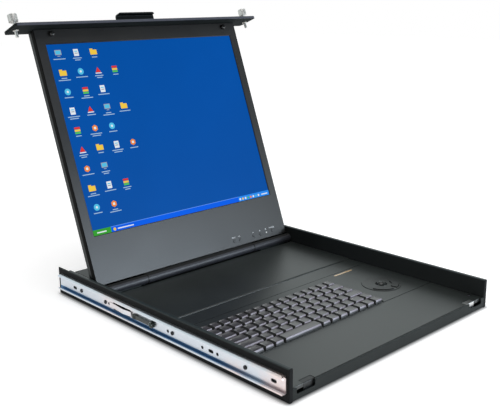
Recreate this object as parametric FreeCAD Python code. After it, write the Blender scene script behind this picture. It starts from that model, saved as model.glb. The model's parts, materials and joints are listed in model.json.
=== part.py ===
"""Rackmount LCD console drawer, one rack unit high.

A flat steel tray carries a keyboard, a trackball and a rear connector box, and
runs on the inner members of two ball-bearing slides.  A 19 inch screen hinges
at the back of the deck and folds flat into the tray.  The screen's top edge
carries the rack panel, which closes the front of the drawer when it is folded.

Millimetres, +Z up, +Y from the front edge to the back, +X to the right.
Origin: the centre of the tray's underside, which is what the drawer rests on.
"""
import FreeCAD, Part
import math
import os

from FreeCAD import Placement, Rotation, Vector

# ---------------------------------------------------------------- tray
tray_depth = 504.0
unit_height = 43.6          # one rack unit of 44.45 less its clearance
base_sheet = 1.5
channel_width = 6.2         # each side is a folded box channel
channel_sheet = 1.2
channel_bend = 1.6
inner_skin_setback = 28.0   # the inner skin stops this far before the back end
lip_height = 16.4
lip_hem_depth = 5.0
notch_inward = 7.0          # relief in the lip, from the strike plate's middle
notch_outward = 25.0
notch_floor = 8.0
side_fit = 0.6              # gap between a deck piece and the channel beside it
screen_side_gap = 2.1       # between the screen and the channel beside it

# ---------------------------------------------------------------- decks
deck_top = 16.0             # palm rest and keyboard cover
deck_sheet = 1.5
deck_skirt = 5.0
deck_edge_round = 1.0
seam_gap = 0.5              # between one deck piece and the next
palm_front = 2.0            # clear of the lip, behind its hem
palm_depth = 90.6
keyboard_cover_depth = 164.0
rear_deck_step = 1.2        # the rear deck stands this much over the cover
rear_deck_round = 2.4
groove_width = 0.9
groove_depth = 0.5
groove_behind_keys = 18.0
standoff_radius = 3.5
standoff_inset = 8.5        # from the inner skin to the middle of a standoff
palm_screw_setback = 17.0
screw_head_radius = 2.9
screw_head_height = 1.5

# ---------------------------------------------------------------- keyboard
key_pitch = 18.5
key_gap = 0.9
key_units = 14.5            # every row is this many pitches wide
key_left_margin = 28.3      # from the inner skin to the first key
key_pointer_gap = 24.05     # from the last key to the pointer's rim
key_left_share = 0.25       # of what a wider or narrower deck adds, left of the keys
pointer_right_share = 0.4   # and right of the pointer
key_front_margin = 2.4      # from the cover's front edge to the first row
key_window_fit = 0.9
key_top_height = 20.8
key_skirt_height = 14.2
key_travel = 2.5
key_side_taper = 2.1
key_front_taper = 1.5
key_back_taper = 2.9
key_dish_depth = 0.55
stem_width = 4.0
stem_fit = 0.25
stem_reach = 8.0            # below the skirt
guide_top = 11.2
guide_sheet = 2.5
guide_wall = 2.0
guide_margin = 3.0
guide_front_margin = 0.4
backplate_sheet = 1.2
membrane_sheet = 0.6
function_key_count = 16
number_row = [1.0] * 13 + [1.5]
tab_row = [1.5] + [1.0] * 13
caps_row = [1.75] + [1.0] * 11 + [1.75]
shift_row = [2.25] + [1.0] * 10 + [1.25, 1.0]
left_of_space = [1.25, 1.0, 1.0]
space_units = 4.0
right_of_space = [1.0, 1.0, 1.0, 1.25, 1.0, 1.0, 1.0]

# ---------------------------------------------------------------- pointer
ball_radius = 9.0
ball_height = 12.2          # of its middle
ball_fit = 0.3
ball_bands = 12
ball_seat_radius = 3.0      # of the cup's floor, under the ball
ball_seat_depth = 3.3       # from that floor up to the straight bore
pointer_right_gap = 31.0    # from the pointer's rim to the inner skin
pointer_from_cover = 49.0   # from the cover's front edge to the ball
pointer_rim_radius = 31.0
pointer_rim_lap = 1.8       # the rim lies this far over the hole's edge
pointer_rim_proud = 0.8
pointer_depth = 3.0
cup_wall = 2.2
crescent_inner = 17.0
crescent_outer = 27.5
crescent_gap_angle = 16.0   # between the two buttons, at the front
crescent_sweep = 72.0
crescent_proud = 1.3
crescent_travel = 0.8
crescent_fit = 0.35
lens_length = 44.0
lens_width = 3.4
lens_proud = 0.3
lens_right_shift = 2.3      # of its middle, left of the ball
lens_behind_ball = 74.0

# ---------------------------------------------------------------- hinge
hinge_from_front = 405.5
hinge_height = 23.8
lean = 20.2                 # the open screen leans back from upright
barrel_radius = 7.5
barrel_gap = 0.6
side_barrel_length = 90.8
pin_radius = 4.0
pin_fit = 0.03
pin_half_length = 36.0
bracket_length = 60.0
bracket_inset = 46.8        # from the inner skin to the bracket's middle
bracket_width = 12.0
bracket_foot = 24.0
bracket_sheet = 2.0
bracket_saddle_fit = 0.05

# ---------------------------------------------------------------- screen
screen_side_border = 16.55  # beside the picture
screen_foot = 9.3           # the screen's bottom edge, out from the hinge axis
screen_tall = 400.0
face_offset = 1.4           # the face, in front of the hinge axis
bezel_depth = 8.0
bezel_wall = 2.0
cover_wall = 1.5
cover_depth = 12.4
cover_chamfer = 5.0
screen_corner = 3.0
bezel_edge = 0.8
view_width = 376.3          # 19 inch, 5:4
view_tall = 301.1
view_foot = 75.2            # above the screen's bottom edge
view_bevel = 1.0
lcd_margin = 9.8
lcd_thickness = 9.0
frame_sheet = 1.5
frame_margin = 3.0
rib_width = 24.0
rib_offset = 120.0
vent_count = 14
vent_pitch = 16.0
vent_length = 26.0
vent_width = 3.0
vent_foot = 330.0
control_height = 10.0       # of the buttons' row above the bottom edge
control_places = {"menu": 78.7, "select": 91.9, "minus": 125.0, "plus": 141.5, "power": 171.5}
control_radius = 2.7
control_fit = 0.25
control_proud = 0.7
control_travel = 0.5
control_flange = 0.9
control_flange_height = 0.8
control_stem = 2.0
led_place = 156.5
led_radius = 1.5
led_fit = 0.1
led_proud = 0.15
board_left = 50.0
board_right = 192.0
board_foot = 4.0
board_tall = 34.0
board_sheet = 1.6
board_behind_plate = 5.6
switch_size = 6.0
post_radius = 3.0
post_inset = 6.0
bumper_inset = 29.7         # in from the screen's side
bumper_below_top = 7.9
bumper_radius = 4.5
bumper_height = 5.8
lid_screw_offset = 78.5
lid_screw_below_top = 3.6
lid_screw_radius = 1.7
lid_screw_proud = 0.5

# ---------------------------------------------------------------- rack panel
panel_width = 482.6
panel_sheet = 4.5
panel_corner = 4.0
panel_edge = 0.8
rack_hole_from_end = 8.75   # which gives the 465.1 that racks are drilled at
shank_radius = 2.5
shank_fit = 0.3
shank_behind = 12.5         # of the shank stands out behind the panel
knob_radius = 7.3
knob_length = 12.0
knob_neck_radius = 4.6
knob_neck = 2.0
knob_edge = 2.4
knob_slot = 1.4
knob_flutes = 18
knob_flute_depth = 0.6
screw_travel = 6.0
clip_radius = 4.4
clip_sheet = 0.8
clip_fit = 0.1
clip_groove_radius = 1.8
clip_gap = 0.2
handle_length = 76.0
handle_reach = 23.0
handle_thick = 3.5
handle_root = 15.0
handle_hook = 9.5
handle_corner = 7.0
handle_from_edge = 2.8      # in from the rack panel's upper edge when closed

# ---------------------------------------------------------------- slides
slide_height = 25.4
slide_depth = 6.5
slide_sheet = 1.3
slide_raceway = 2.0
slide_lip = 2.6
slide_front = 4.0
slide_rear = 6.0
slide_end_round = 5.0
slide_hole_radius = 2.3
slide_slot_length = 9.5
slide_holes = [71.6, 122.6, 151.6, 213.1, 222.9, 362.6, 371.6, 436.9]
slide_slots = [23.2, 135.0, 455.0]
slide_screws = [71.6, 213.1, 371.6, 436.9]
latch_window_start = 308.0
latch_window_end = 352.0
latch_window_height = 12.0
latch_blade_height = 7.0
latch_blade_sheet = 0.8
latch_blade_rise = 2.6
lever_pivot = 257.0
lever_length = 44.0
lever_thick = 3.2
lever_hub_radius = 5.2
lever_tip_height = 7.0
lever_waist_height = 5.4
lever_neck = 14.0           # from the tip back to the waist
lever_pad = 8.0
lever_side_gap = 0.3
lever_pin_radius = 1.8
lever_pin_fit = 0.06
lever_head_radius = 3.4
lever_head = 0.6

# ---------------------------------------------------------------- strike plates
strike_width = 20.0
strike_depth = 8.0
strike_sheet = 1.0
strike_below_deck = 0.3

# ---------------------------------------------------------------- rear box
box_width = 368.0
box_depth = 54.5
box_height = 27.0
box_sheet = 1.2
io_sheet = 1.5
io_foot = 12.0
box_slots = 16
box_slot_pitch = 20.0
box_slot_length = 22.0
box_slot_width = 3.0
board_posts = 3.5
main_board_width = 240.0
main_board_depth = 42.0
board_chips = [(0.0, 20.0, 2.2), (34.0, 12.0, 1.8), (-100.0, 14.0, 8.0)]
board_chip_inset = 16.0
port_offset = -60.0
port_width = 30.8
port_tall = 12.4
port_shell_width = 17.0
port_shell_tall = 8.6
port_shell_reach = 5.6
port_lift = 13.0
port_screw_spacing = 25.0
port_screw_radius = 2.4
port_fit = 0.2
inlet_offset = 70.0
inlet_width = 9.4
inlet_tall = 11.0
inlet_depth = 14.0
inlet_bore = 3.0
inlet_pin = 1.0

# ---------------------------------------------------------------- worked out
front_y = -tray_depth / 2
rear_y = tray_depth / 2
screen_width = view_width + 2 * screen_side_border
inner_x = screen_width / 2 + screen_side_gap
tray_width = 2 * (inner_x + channel_width)
deck_half = inner_x - side_fit
palm_y0 = front_y + base_sheet + palm_front
palm_y1 = palm_y0 + palm_depth - seam_gap
cover_y0 = palm_y1 + seam_gap
cover_y1 = cover_y0 + keyboard_cover_depth
hinge_y = front_y + hinge_from_front
deck_y0 = cover_y1 + seam_gap
deck_y1 = hinge_y - barrel_radius - seam_gap
keys_wide = key_units * key_pitch
deck_spare = 2 * (inner_x - pointer_rim_radius) - (key_left_margin + keys_wide
                                                   + key_pointer_gap + pointer_right_gap)
keys_x0 = -inner_x + key_left_margin + deck_spare * key_left_share
keys_y0 = cover_y0 + key_front_margin
keys_deep = 6 * key_pitch
membrane_top = base_sheet + backplate_sheet + membrane_sheet
ball_x = inner_x - pointer_right_gap - pointer_rim_radius - deck_spare * pointer_right_share
ball_y = cover_y0 + pointer_from_cover
face_n = face_offset
plate_n = face_n - bezel_wall
split_n = face_n - bezel_depth
back_n = split_n - cover_depth
screen_v0 = screen_foot
screen_v1 = screen_foot + screen_tall
view_v0 = screen_v0 + view_foot
view_v1 = view_v0 + view_tall
board_n = plate_n - board_behind_plate
panel_v0 = screen_v1
panel_v1 = panel_v0 + panel_sheet
panel_n0 = hinge_height - unit_height
panel_n1 = hinge_height
panel_mid_n = (panel_n0 + panel_n1) / 2
slide_x0 = tray_width / 2
slide_z0 = (unit_height - slide_height) / 2
slide_mid_z = unit_height / 2
box_y0 = rear_y - box_depth - io_sheet
box_y1 = rear_y - io_sheet
box_top = base_sheet + box_height
centre_barrel_half = inner_x - side_barrel_length - barrel_gap
bracket_middle = inner_x - bracket_inset
bumper_offset = screen_width / 2 - bumper_inset
rack_hole_offset = panel_width / 2 - rack_hole_from_end
screen_place = Placement(Vector(0, hinge_y, hinge_height),
                         Rotation(Vector(1, 0, 0), 90 - lean))


# ---------------------------------------------------------------- helpers
def block(x0, x1, y0, y1, z0, z1):
    """A box between two corners."""
    return Part.makeBox(x1 - x0, y1 - y0, z1 - z0, Vector(x0, y0, z0))


def rod(radius, start, end):
    """A round bar from one point to another."""
    way = Vector(*end) - Vector(*start)
    return Part.makeCylinder(radius, way.Length, Vector(*start), way)


def tube(outer, inner, start, end):
    """A round bar with a round bore right through."""
    return rod(outer, start, end).cut(rod(inner, start, end))


def join(shapes):
    """One solid from several that meet."""
    first = shapes[0]
    if len(shapes) == 1:
        return first
    return first.fuse(shapes[1:]).removeSplitter()


def mirrored(shape):
    """The same piece on the other side of the drawer."""
    return shape.mirror(Vector(0, 0, 0), Vector(1, 0, 0))


def outline(points, lift):
    """A closed wire through (a, b) or (a, b, radius) corners; lift makes a 3-D point."""
    edges = []
    ends = []
    count = len(points)
    for index, point in enumerate(points):
        here = Vector(point[0], point[1], 0)
        radius = point[2] if len(point) > 2 else 0.0
        before = Vector(points[index - 1][0], points[index - 1][1], 0) - here
        after = Vector(points[(index + 1) % count][0], points[(index + 1) % count][1], 0) - here
        if radius <= 0:
            ends.append((here, here))
            continue
        half = before.getAngle(after) / 2
        reach = radius / math.tan(half)
        before.normalize()
        after.normalize()
        inward = before + after
        inward.normalize()
        middle = here + inward * (radius / math.sin(half) - radius)
        start = here + before * reach
        end = here + after * reach
        ends.append((start, end))
        edges.append(Part.Arc(lift(start), lift(middle), lift(end)).toShape())
    for index in range(count):
        leave = ends[index][1]
        arrive = ends[(index + 1) % count][0]
        if leave.distanceToPoint(arrive) > 1e-6:
            edges.append(Part.LineSegment(lift(leave), lift(arrive)).toShape())
    return Part.Wire(Part.__sortEdges__(edges))


def prism(points, axis, start, end):
    """An outline drawn across an axis and extruded along it."""
    lifts = {
        "x": (lambda p: Vector(start, p.x, p.y), Vector(end - start, 0, 0)),
        "y": (lambda p: Vector(p.x, start, p.y), Vector(0, end - start, 0)),
        "z": (lambda p: Vector(p.x, p.y, start), Vector(0, 0, end - start)),
    }
    lift, way = lifts[axis]
    return Part.Face(outline(points, lift)).extrude(way)


def rounded_plate(a0, a1, b0, b1, radius, axis, start, end):
    """A plate with rounded corners."""
    corners = [(a0, b0, radius), (a1, b0, radius), (a1, b1, radius), (a0, b1, radius)]
    return prism(corners, axis, start, end)


def slot(a, b, length, width, axis, start, end):
    """A round-ended slot cutter, long along the outline's first direction."""
    radius = width / 2 - 0.001
    return rounded_plate(a - length / 2, a + length / 2, b - width / 2, b + width / 2,
                         radius, axis, start, end)


def polygon(a, b, radius, count):
    """The corners of a regular polygon about a point."""
    return [(a + radius * math.cos(2 * math.pi * index / count),
             b + radius * math.sin(2 * math.pi * index / count)) for index in range(count)]


def vent_slot(a0, a1, b0, b1, axis, start, end):
    """A long slot with pointed-off corners, for what is cut many times."""
    cut = (a1 - a0) * 0.3
    corners = [(a0 + cut, b0), (a1 - cut, b0), (a1, b0 + cut), (a1, b1 - cut),
               (a1 - cut, b1), (a0 + cut, b1), (a0, b1 - cut), (a0, b0 + cut)]
    return prism(corners, axis, start, end)


def from_front(distance):
    """The Y of a place measured back from the tray's front edge."""
    return front_y + distance


def on_screen(shape):
    """Put a piece drawn in the screen's frame onto the open screen.

    In that frame x runs across, y runs up the screen from the hinge axis and
    z comes out of its face, so the axis itself lies on x.
    """
    placed = shape.copy()
    placed.Placement = screen_place.multiply(placed.Placement)
    return placed


# ---------------------------------------------------------------- tray pieces
def make_base_plate():
    """The floor with its bent and hemmed front lip."""
    y0 = front_y
    hem = 2 * base_sheet
    profile = [
        (y0, 0, 2.6),
        (y0, lip_height, 1.4),
        (y0 + hem, lip_height, 1.4),
        (y0 + hem, lip_height - lip_hem_depth),
        (y0 + base_sheet, lip_height - lip_hem_depth),
        (y0 + base_sheet, base_sheet, 1.1),
        (rear_y, base_sheet),
        (rear_y, 0),
    ]
    plate = prism(profile, "x", -inner_x, inner_x)
    cutters = []
    for side in (-1, 1):
        inward = side * (bumper_offset - notch_inward)
        outward = side * (bumper_offset + notch_outward)
        low = min(inward, outward)
        high = max(inward, outward)
        cutters.append(rounded_plate(low, high, notch_floor, lip_height + 6, 2.0,
                                     "y", y0 - 1, y0 + hem + 1))
    return plate.cut(cutters)


def make_side_channel():
    """The right-hand box channel; its inner skin ends before the outer one."""
    outer_x = tray_width / 2
    ring = rounded_plate(inner_x, outer_x, 0, unit_height, channel_bend, "y", front_y, rear_y)
    hollow = block(inner_x + channel_sheet, outer_x - channel_sheet, front_y + channel_sheet,
                   rear_y + 1, channel_sheet, unit_height - channel_sheet)
    open_back = block(inner_x - 1, outer_x - channel_sheet, rear_y - inner_skin_setback,
                      rear_y + 1, -1, unit_height + 1)
    return ring.cut([hollow, open_back])


def shell_deck(y0, y1, top, round_front):
    """A folded deck piece: a flat top with a skirt all round, open underneath."""
    bottom = top - deck_skirt
    sheet = deck_sheet
    profile = [
        (y0, bottom),
        (y0, top, round_front),
        (y1, top, deck_edge_round),
        (y1, bottom),
    ]
    body = prism(profile, "x", -deck_half, deck_half)
    under = block(-deck_half + sheet, deck_half - sheet, y0 + sheet, y1 - sheet,
                  bottom - 1, top - sheet)
    return body.cut(under)


def make_palm_rest():
    """The plain front deck, relieved over the two strike plates."""
    plate = shell_deck(palm_y0, palm_y1, deck_top, deck_edge_round)
    cutters = []
    for side in (-1, 1):
        middle = side * bumper_offset
        reach = strike_width / 2 + side_fit
        cutters.append(rounded_plate(middle - reach, middle + reach, palm_y0 - 6,
                                     palm_y0 + strike_depth + side_fit, 2.0,
                                     "z", 0, deck_top + 1))
    return plate.cut(cutters)


def make_keyboard_cover():
    """The middle deck, with the key window and the pointer's round hole."""
    plate = shell_deck(cover_y0, cover_y1, deck_top, deck_edge_round)
    fit = key_window_fit
    window = rounded_plate(keys_x0 - fit, keys_x0 + keys_wide + fit, keys_y0 - fit,
                           keys_y0 + keys_deep + fit, 1.5, "z", 0, deck_top + 1)
    hole = rod(pointer_rim_radius - pointer_rim_lap, (ball_x, ball_y, 0),
               (ball_x, ball_y, deck_top + 1))
    groove_y = keys_y0 + keys_deep + groove_behind_keys
    groove = block(-deck_half - 1, deck_half + 1, groove_y, groove_y + groove_width,
                   deck_top - groove_depth, deck_top + 1)
    return plate.cut([window, hole, groove])


def make_rear_deck():
    """The raised rear deck that runs back under the screen's hinge."""
    return shell_deck(deck_y0, deck_y1, deck_top + rear_deck_step, rear_deck_round)


def standoff_places():
    """Where the standoffs stand, with the height each one reaches."""
    edge = inner_x - standoff_inset
    under_deck = deck_top - deck_sheet
    places = []
    for x in (-edge, 0, edge):
        places.append((x, palm_y0 + palm_screw_setback, under_deck))
        places.append((x, cover_y1 - palm_screw_setback, under_deck))
        places.append((x, deck_y0 + palm_screw_setback, under_deck + rear_deck_step))
        places.append((x, deck_y1 - palm_screw_setback, under_deck + rear_deck_step))
    for x in (-edge, edge):
        places.append((x, cover_y0 + palm_screw_setback, under_deck))
    return places


def make_deck_standoffs():
    """Hexagonal standoffs on the floor, under the three decks."""
    posts = [prism(polygon(x, y, standoff_radius, 6), "z", base_sheet, top)
             for x, y, top in standoff_places()]
    return Part.makeCompound(posts)


def make_tray_screws():
    """Pan-head screws: two in the palm rest and a row in each slide member."""
    screws = []
    edge = inner_x - standoff_inset
    for x in (-edge, edge):
        y = palm_y0 + palm_screw_setback
        screws.append(screw_head((x, y, deck_top), "z", 1))
    for side in (-1, 1):
        x = side * (slide_x0 + slide_sheet)
        for place in slide_screws:
            screws.append(screw_head((x, from_front(place), slide_mid_z), "x", side))
    return Part.makeCompound(screws)


def screw_head(foot, axis, way):
    """A low screw head standing on its seat."""
    across = {"x": (foot[1], foot[2]), "z": (foot[0], foot[1])}[axis]
    start = foot["xyz".index(axis)]
    return prism(polygon(*across, screw_head_radius, 12), axis, start,
                 start + way * screw_head_height)


# ---------------------------------------------------------------- keyboard pieces
def row_bottom(row):
    """The front edge of a row's pitch; row 0 is nearest the user."""
    return keys_y0 + row * key_pitch


def make_cap(x0, x1, y0, y1, crowned):
    """One keycap: a tapered body with a dished or crowned top, and its stem."""
    low_z = key_skirt_height
    top_z = key_top_height
    left = x0 + key_gap / 2
    right = x1 - key_gap / 2
    near = y0 + key_gap / 2
    far = y1 - key_gap / 2
    top_left = left + key_side_taper
    top_right = right - key_side_taper
    top_near = near + key_front_taper
    top_far = far - key_back_taper
    floor_z = top_z - key_dish_depth
    middle_x = (x0 + x1) / 2
    middle_y = (y0 + y1) / 2
    if crowned:
        across = [(left, low_z), (right, low_z), (top_right, top_z), (top_left, top_z)]
        shoulder = (top_far - top_near) * 0.25
        along = [(near, low_z), (far, low_z), (top_far, floor_z), (top_far - shoulder, top_z),
                 (top_near + shoulder, top_z), (top_near, floor_z)]
    else:
        shoulder = (top_right - top_left) * 0.28
        across = [(left, low_z), (right, low_z), (top_right, top_z),
                  (top_right - shoulder, floor_z), (top_left + shoulder, floor_z),
                  (top_left, top_z)]
        along = [(near, low_z), (far, low_z), (top_far, top_z), (top_near, top_z)]
    cap = prism(across, "y", near, far).common(prism(along, "x", left, right))
    return cap.fuse(make_stem(middle_x, middle_y))


def make_stem(x, y, grow=0.0):
    """The square stem under a key, or with grow the socket that guides it."""
    half = stem_width / 2 + grow
    top = key_skirt_height + (0 if grow else 0.2)
    bottom = key_skirt_height - stem_reach
    return block(x - half, x + half, y - half, y + half, bottom, top)


def row_spans(widths, first=0.0):
    """Start and end of each key along a row, in millimetres across the tray."""
    spans = []
    place = first
    for width in widths:
        spans.append((keys_x0 + place * key_pitch, keys_x0 + (place + width) * key_pitch))
        place += width
    return spans


def keyboard_rows():
    """The name, the row and the key spans of every group that moves together."""
    function_row = [key_units / function_key_count] * function_key_count
    after_space = sum(left_of_space) + space_units
    bottom = row_spans(left_of_space) + row_spans(right_of_space, after_space)
    return {
        "key_row_bottom": (0, bottom),
        "key_row_shift": (1, row_spans(shift_row)),
        "key_row_caps": (2, row_spans(caps_row)),
        "key_row_tab": (3, row_spans(tab_row)),
        "key_row_number": (4, row_spans(number_row)),
        "key_row_function": (5, row_spans(function_row)),
        "space_bar": (0, row_spans([space_units], sum(left_of_space))),
    }


def make_key_row(name, row, spans):
    """All the caps of one row as separate solids."""
    y0 = row_bottom(row)
    caps = [make_cap(x0, x1, y0, y0 + key_pitch, name == "space_bar") for x0, x1 in spans]
    return caps[0] if len(caps) == 1 else Part.makeCompound(caps)


def guide_outline(grow):
    """The corners of the keyboard chassis, in plan."""
    margin = guide_margin + grow
    return (keys_x0 - margin, keys_x0 + keys_wide + margin,
            keys_y0 - guide_front_margin - grow, keys_y0 + keys_deep + margin)


def make_guide_plate():
    """The moulded key guide: a tray standing on its rim, with a socket per key."""
    x0, x1, y0, y1 = guide_outline(0)
    body = block(x0, x1, y0, y1, membrane_top, guide_top)
    hollow = block(x0 + guide_wall, x1 - guide_wall, y0 + guide_wall, y1 - guide_wall,
                   membrane_top - 1, guide_top - guide_sheet)
    sockets = []
    for row, spans in keyboard_rows().values():
        middle_y = row_bottom(row) + key_pitch / 2
        for span_start, span_end in spans:
            sockets.append(make_stem((span_start + span_end) / 2, middle_y, stem_fit))
    return body.cut([hollow] + sockets)


def make_backplate():
    """The steel plate under the keyboard."""
    x0, x1, y0, y1 = guide_outline(0)
    return rounded_plate(x0, x1, y0, y1, 2.0, "z", base_sheet, base_sheet + backplate_sheet)


def make_membrane():
    """The printed switch sheet between the plate and the key guide."""
    x0, x1, y0, y1 = guide_outline(0)
    return rounded_plate(x0, x1, y0, y1, 2.0, "z", base_sheet + backplate_sheet, membrane_top)


# ---------------------------------------------------------------- pointer pieces
def sector(inner, outer, start_angle, sweep, z0, z1):
    """A piece of a flat ring about the ball."""
    points = []
    edges = []
    for radius in (inner, outer):
        row = []
        for share in (0, 0.5, 1):
            angle = math.radians(start_angle + sweep * share)
            row.append(Vector(ball_x + radius * math.cos(angle),
                              ball_y + radius * math.sin(angle), z0))
        points.append(row)
        edges.append(Part.Arc(*row).toShape())
    edges.append(Part.LineSegment(points[0][0], points[1][0]).toShape())
    edges.append(Part.LineSegment(points[0][2], points[1][2]).toShape())
    wire = Part.Wire(Part.__sortEdges__(edges))
    return Part.Face(wire).extrude(Vector(0, 0, z1 - z0))


def crescent(side, grow):
    """One arc-shaped pointer button, or with grow the slot that it works in."""
    start = 270 + crescent_gap_angle / 2 if side > 0 else 270 - crescent_gap_angle / 2 - crescent_sweep
    slack = math.degrees(grow / crescent_inner)
    top = deck_top + pointer_rim_proud + crescent_proud
    bottom = deck_top - pointer_depth + crescent_travel
    return sector(crescent_inner - grow, crescent_outer + grow, start - slack,
                  crescent_sweep + 2 * slack, bottom - (8 if grow else 0), top)


def make_pointer_button(side):
    """A crescent button with softened top edges."""
    button = crescent(side, 0)
    top = button.BoundBox.ZMax
    rim = [edge for edge in button.Edges
           if edge.BoundBox.ZMin > top - 0.01]
    return button.makeChamfer(0.4, rim)


def make_pointer_housing():
    """The round bezel with the ball's cup under it."""
    rim_top = deck_top + pointer_rim_proud
    low = deck_top - pointer_depth
    rim = rod(pointer_rim_radius, (ball_x, ball_y, deck_top), (ball_x, ball_y, rim_top))
    edge = [item for item in rim.Edges if item.BoundBox.ZMin > rim_top - 0.01
            and item.Closed]
    rim = rim.makeChamfer(pointer_rim_proud * 0.6, edge)
    collar = rod(pointer_rim_radius - pointer_rim_lap - side_fit / 2,
                 (ball_x, ball_y, low), (ball_x, ball_y, deck_top + 0.1))
    cup = rod(ball_radius + cup_wall, (ball_x, ball_y, base_sheet), (ball_x, ball_y, deck_top))
    body = join([rim, collar, cup])
    seat_z = ball_height - ball_radius - ball_fit
    mouth = rod(ball_radius + ball_fit, (ball_x, ball_y, seat_z + ball_seat_depth),
                (ball_x, ball_y, rim_top + 1))
    funnel = Part.makeCone(ball_seat_radius, ball_radius + ball_fit, ball_seat_depth,
                           Vector(ball_x, ball_y, seat_z))
    slots = [crescent(side, crescent_fit) for side in (-1, 1)]
    return body.cut([mouth, funnel] + slots)


def make_trackball():
    """The ball in its cup, turned as a stack of narrow conical bands."""
    bands = []
    for band in range(ball_bands):
        low = math.pi * band / ball_bands
        high = math.pi * (band + 1) / ball_bands
        foot = ball_height - ball_radius * math.cos(low)
        rise = ball_radius * (math.cos(low) - math.cos(high))
        bands.append(Part.makeCone(round(ball_radius * math.sin(low), 6),
                                   round(ball_radius * math.sin(high), 6),
                                   rise, Vector(ball_x, ball_y, foot)))
    return bands[0].fuse(bands[1:])


def make_indicator_lens():
    """A thin light-pipe strip behind the pointer."""
    x1 = ball_x - lens_right_shift + lens_length / 2
    y0 = ball_y + lens_behind_ball
    return rounded_plate(x1 - lens_length, x1, y0, y0 + lens_width, lens_width / 2 - 0.01,
                         "z", deck_top, deck_top + lens_proud)


def make_strike_plates():
    """Two bent steel plates that the screen's bumpers close on."""
    plates = []
    top = deck_top - strike_below_deck
    for side in (-1, 1):
        x0 = side * bumper_offset - strike_width / 2
        y0 = palm_y0
        profile = [
            (y0, base_sheet),
            (y0, top, strike_sheet * 1.5),
            (y0 + strike_depth, top),
            (y0 + strike_depth, top - strike_sheet),
            (y0 + strike_sheet, top - strike_sheet, strike_sheet * 0.5),
            (y0 + strike_sheet, base_sheet),
        ]
        plates.append(prism(profile, "x", x0, x0 + strike_width))
    return Part.makeCompound(plates)


# ---------------------------------------------------------------- hinge pieces
def make_hinge_barrel():
    """The right-hand fixed barrel, from the centre barrel out to the channel."""
    start = centre_barrel_half + barrel_gap
    return tube(barrel_radius, pin_radius + pin_fit, (start, hinge_y, hinge_height),
                (inner_x, hinge_y, hinge_height))


def make_hinge_pin():
    """The right-hand friction pin, half in each barrel."""
    middle = centre_barrel_half + barrel_gap / 2
    return rod(pin_radius, (middle - pin_half_length, hinge_y, hinge_height),
               (middle + pin_half_length, hinge_y, hinge_height))


def make_hinge_bracket():
    """The right-hand bracket: a foot on the floor and a saddle under the barrel."""
    x0 = bracket_middle - bracket_length / 2
    y0 = hinge_y - bracket_width / 2
    top = hinge_height - barrel_radius * 0.35
    profile = [
        (y0, base_sheet),
        (y0, top),
        (y0 + bracket_width, top),
        (y0 + bracket_width, base_sheet + bracket_sheet, 2.0),
        (y0 + bracket_foot, base_sheet + bracket_sheet, 0.8),
        (y0 + bracket_foot, base_sheet),
    ]
    body = prism(profile, "x", x0, x0 + bracket_length)
    saddle = rod(barrel_radius + bracket_saddle_fit, (x0 - 1, hinge_y, hinge_height),
                 (x0 + bracket_length + 1, hinge_y, hinge_height))
    window = rounded_plate(x0 + bracket_width, x0 + bracket_length - bracket_width,
                           base_sheet + bracket_sheet, hinge_height - barrel_radius - 3,
                           2.0, "y", y0 - 1, y0 + bracket_width + 1)
    return body.cut([saddle, window])


def make_centre_barrel():
    """The barrel that turns with the screen, with the leaf that joins them."""
    half = centre_barrel_half
    body = rod(barrel_radius, (-half, 0, 0), (half, 0, 0))
    leaf = block(-half, half, barrel_radius * 0.6, screen_foot, split_n + 0.6, face_n - 1.0)
    bore = rod(pin_radius + pin_fit, (-half - 1, 0, 0), (half + 1, 0, 0))
    return on_screen(join([body, leaf]).cut(bore))


# ---------------------------------------------------------------- screen pieces
def screen_box(inset, n0, n1):
    """A block over the whole screen, drawn in by an inset on its four sides."""
    half = screen_width / 2 - inset
    return block(-half, half, screen_v0 + inset, screen_v1 - inset, n0, n1)


def make_bezel():
    """The front moulding: a flat face with the window, and its side walls."""
    half = screen_width / 2
    body = rounded_plate(-half, half, screen_v0, screen_v1, screen_corner, "z", split_n, face_n)
    rim = [edge for edge in body.Edges if edge.BoundBox.ZMin > face_n - 0.01]
    body = body.makeChamfer(bezel_edge, rim)
    inside = screen_box(bezel_wall, split_n - 1, plate_n)
    view = block(-view_width / 2, view_width / 2, view_v0, view_v1, plate_n - 1, face_n + 1)
    grow = view_bevel
    wide = [Vector(-view_width / 2 - grow, view_v0 - grow, face_n),
            Vector(view_width / 2 + grow, view_v0 - grow, face_n),
            Vector(view_width / 2 + grow, view_v1 + grow, face_n),
            Vector(-view_width / 2 - grow, view_v1 + grow, face_n)]
    tight = [Vector(-view_width / 2, view_v0, face_n - grow),
             Vector(view_width / 2, view_v0, face_n - grow),
             Vector(view_width / 2, view_v1, face_n - grow),
             Vector(-view_width / 2, view_v1, face_n - grow)]
    bevel = Part.makeLoft([Part.makePolygon(wide + wide[:1]),
                           Part.makePolygon(tight + tight[:1])], True, True)
    holes = [rod(control_radius + control_fit, (x, control_v(), plate_n - 1),
                 (x, control_v(), face_n + 1)) for x in control_places.values()]
    holes.append(rod(led_radius + led_fit, (led_place, control_v(), plate_n - 1),
                     (led_place, control_v(), face_n + 1)))
    return on_screen(body.cut([inside, view, bevel] + holes))


def control_v():
    """The height of the control buttons' row, out from the hinge axis."""
    return screen_v0 + control_height


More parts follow.
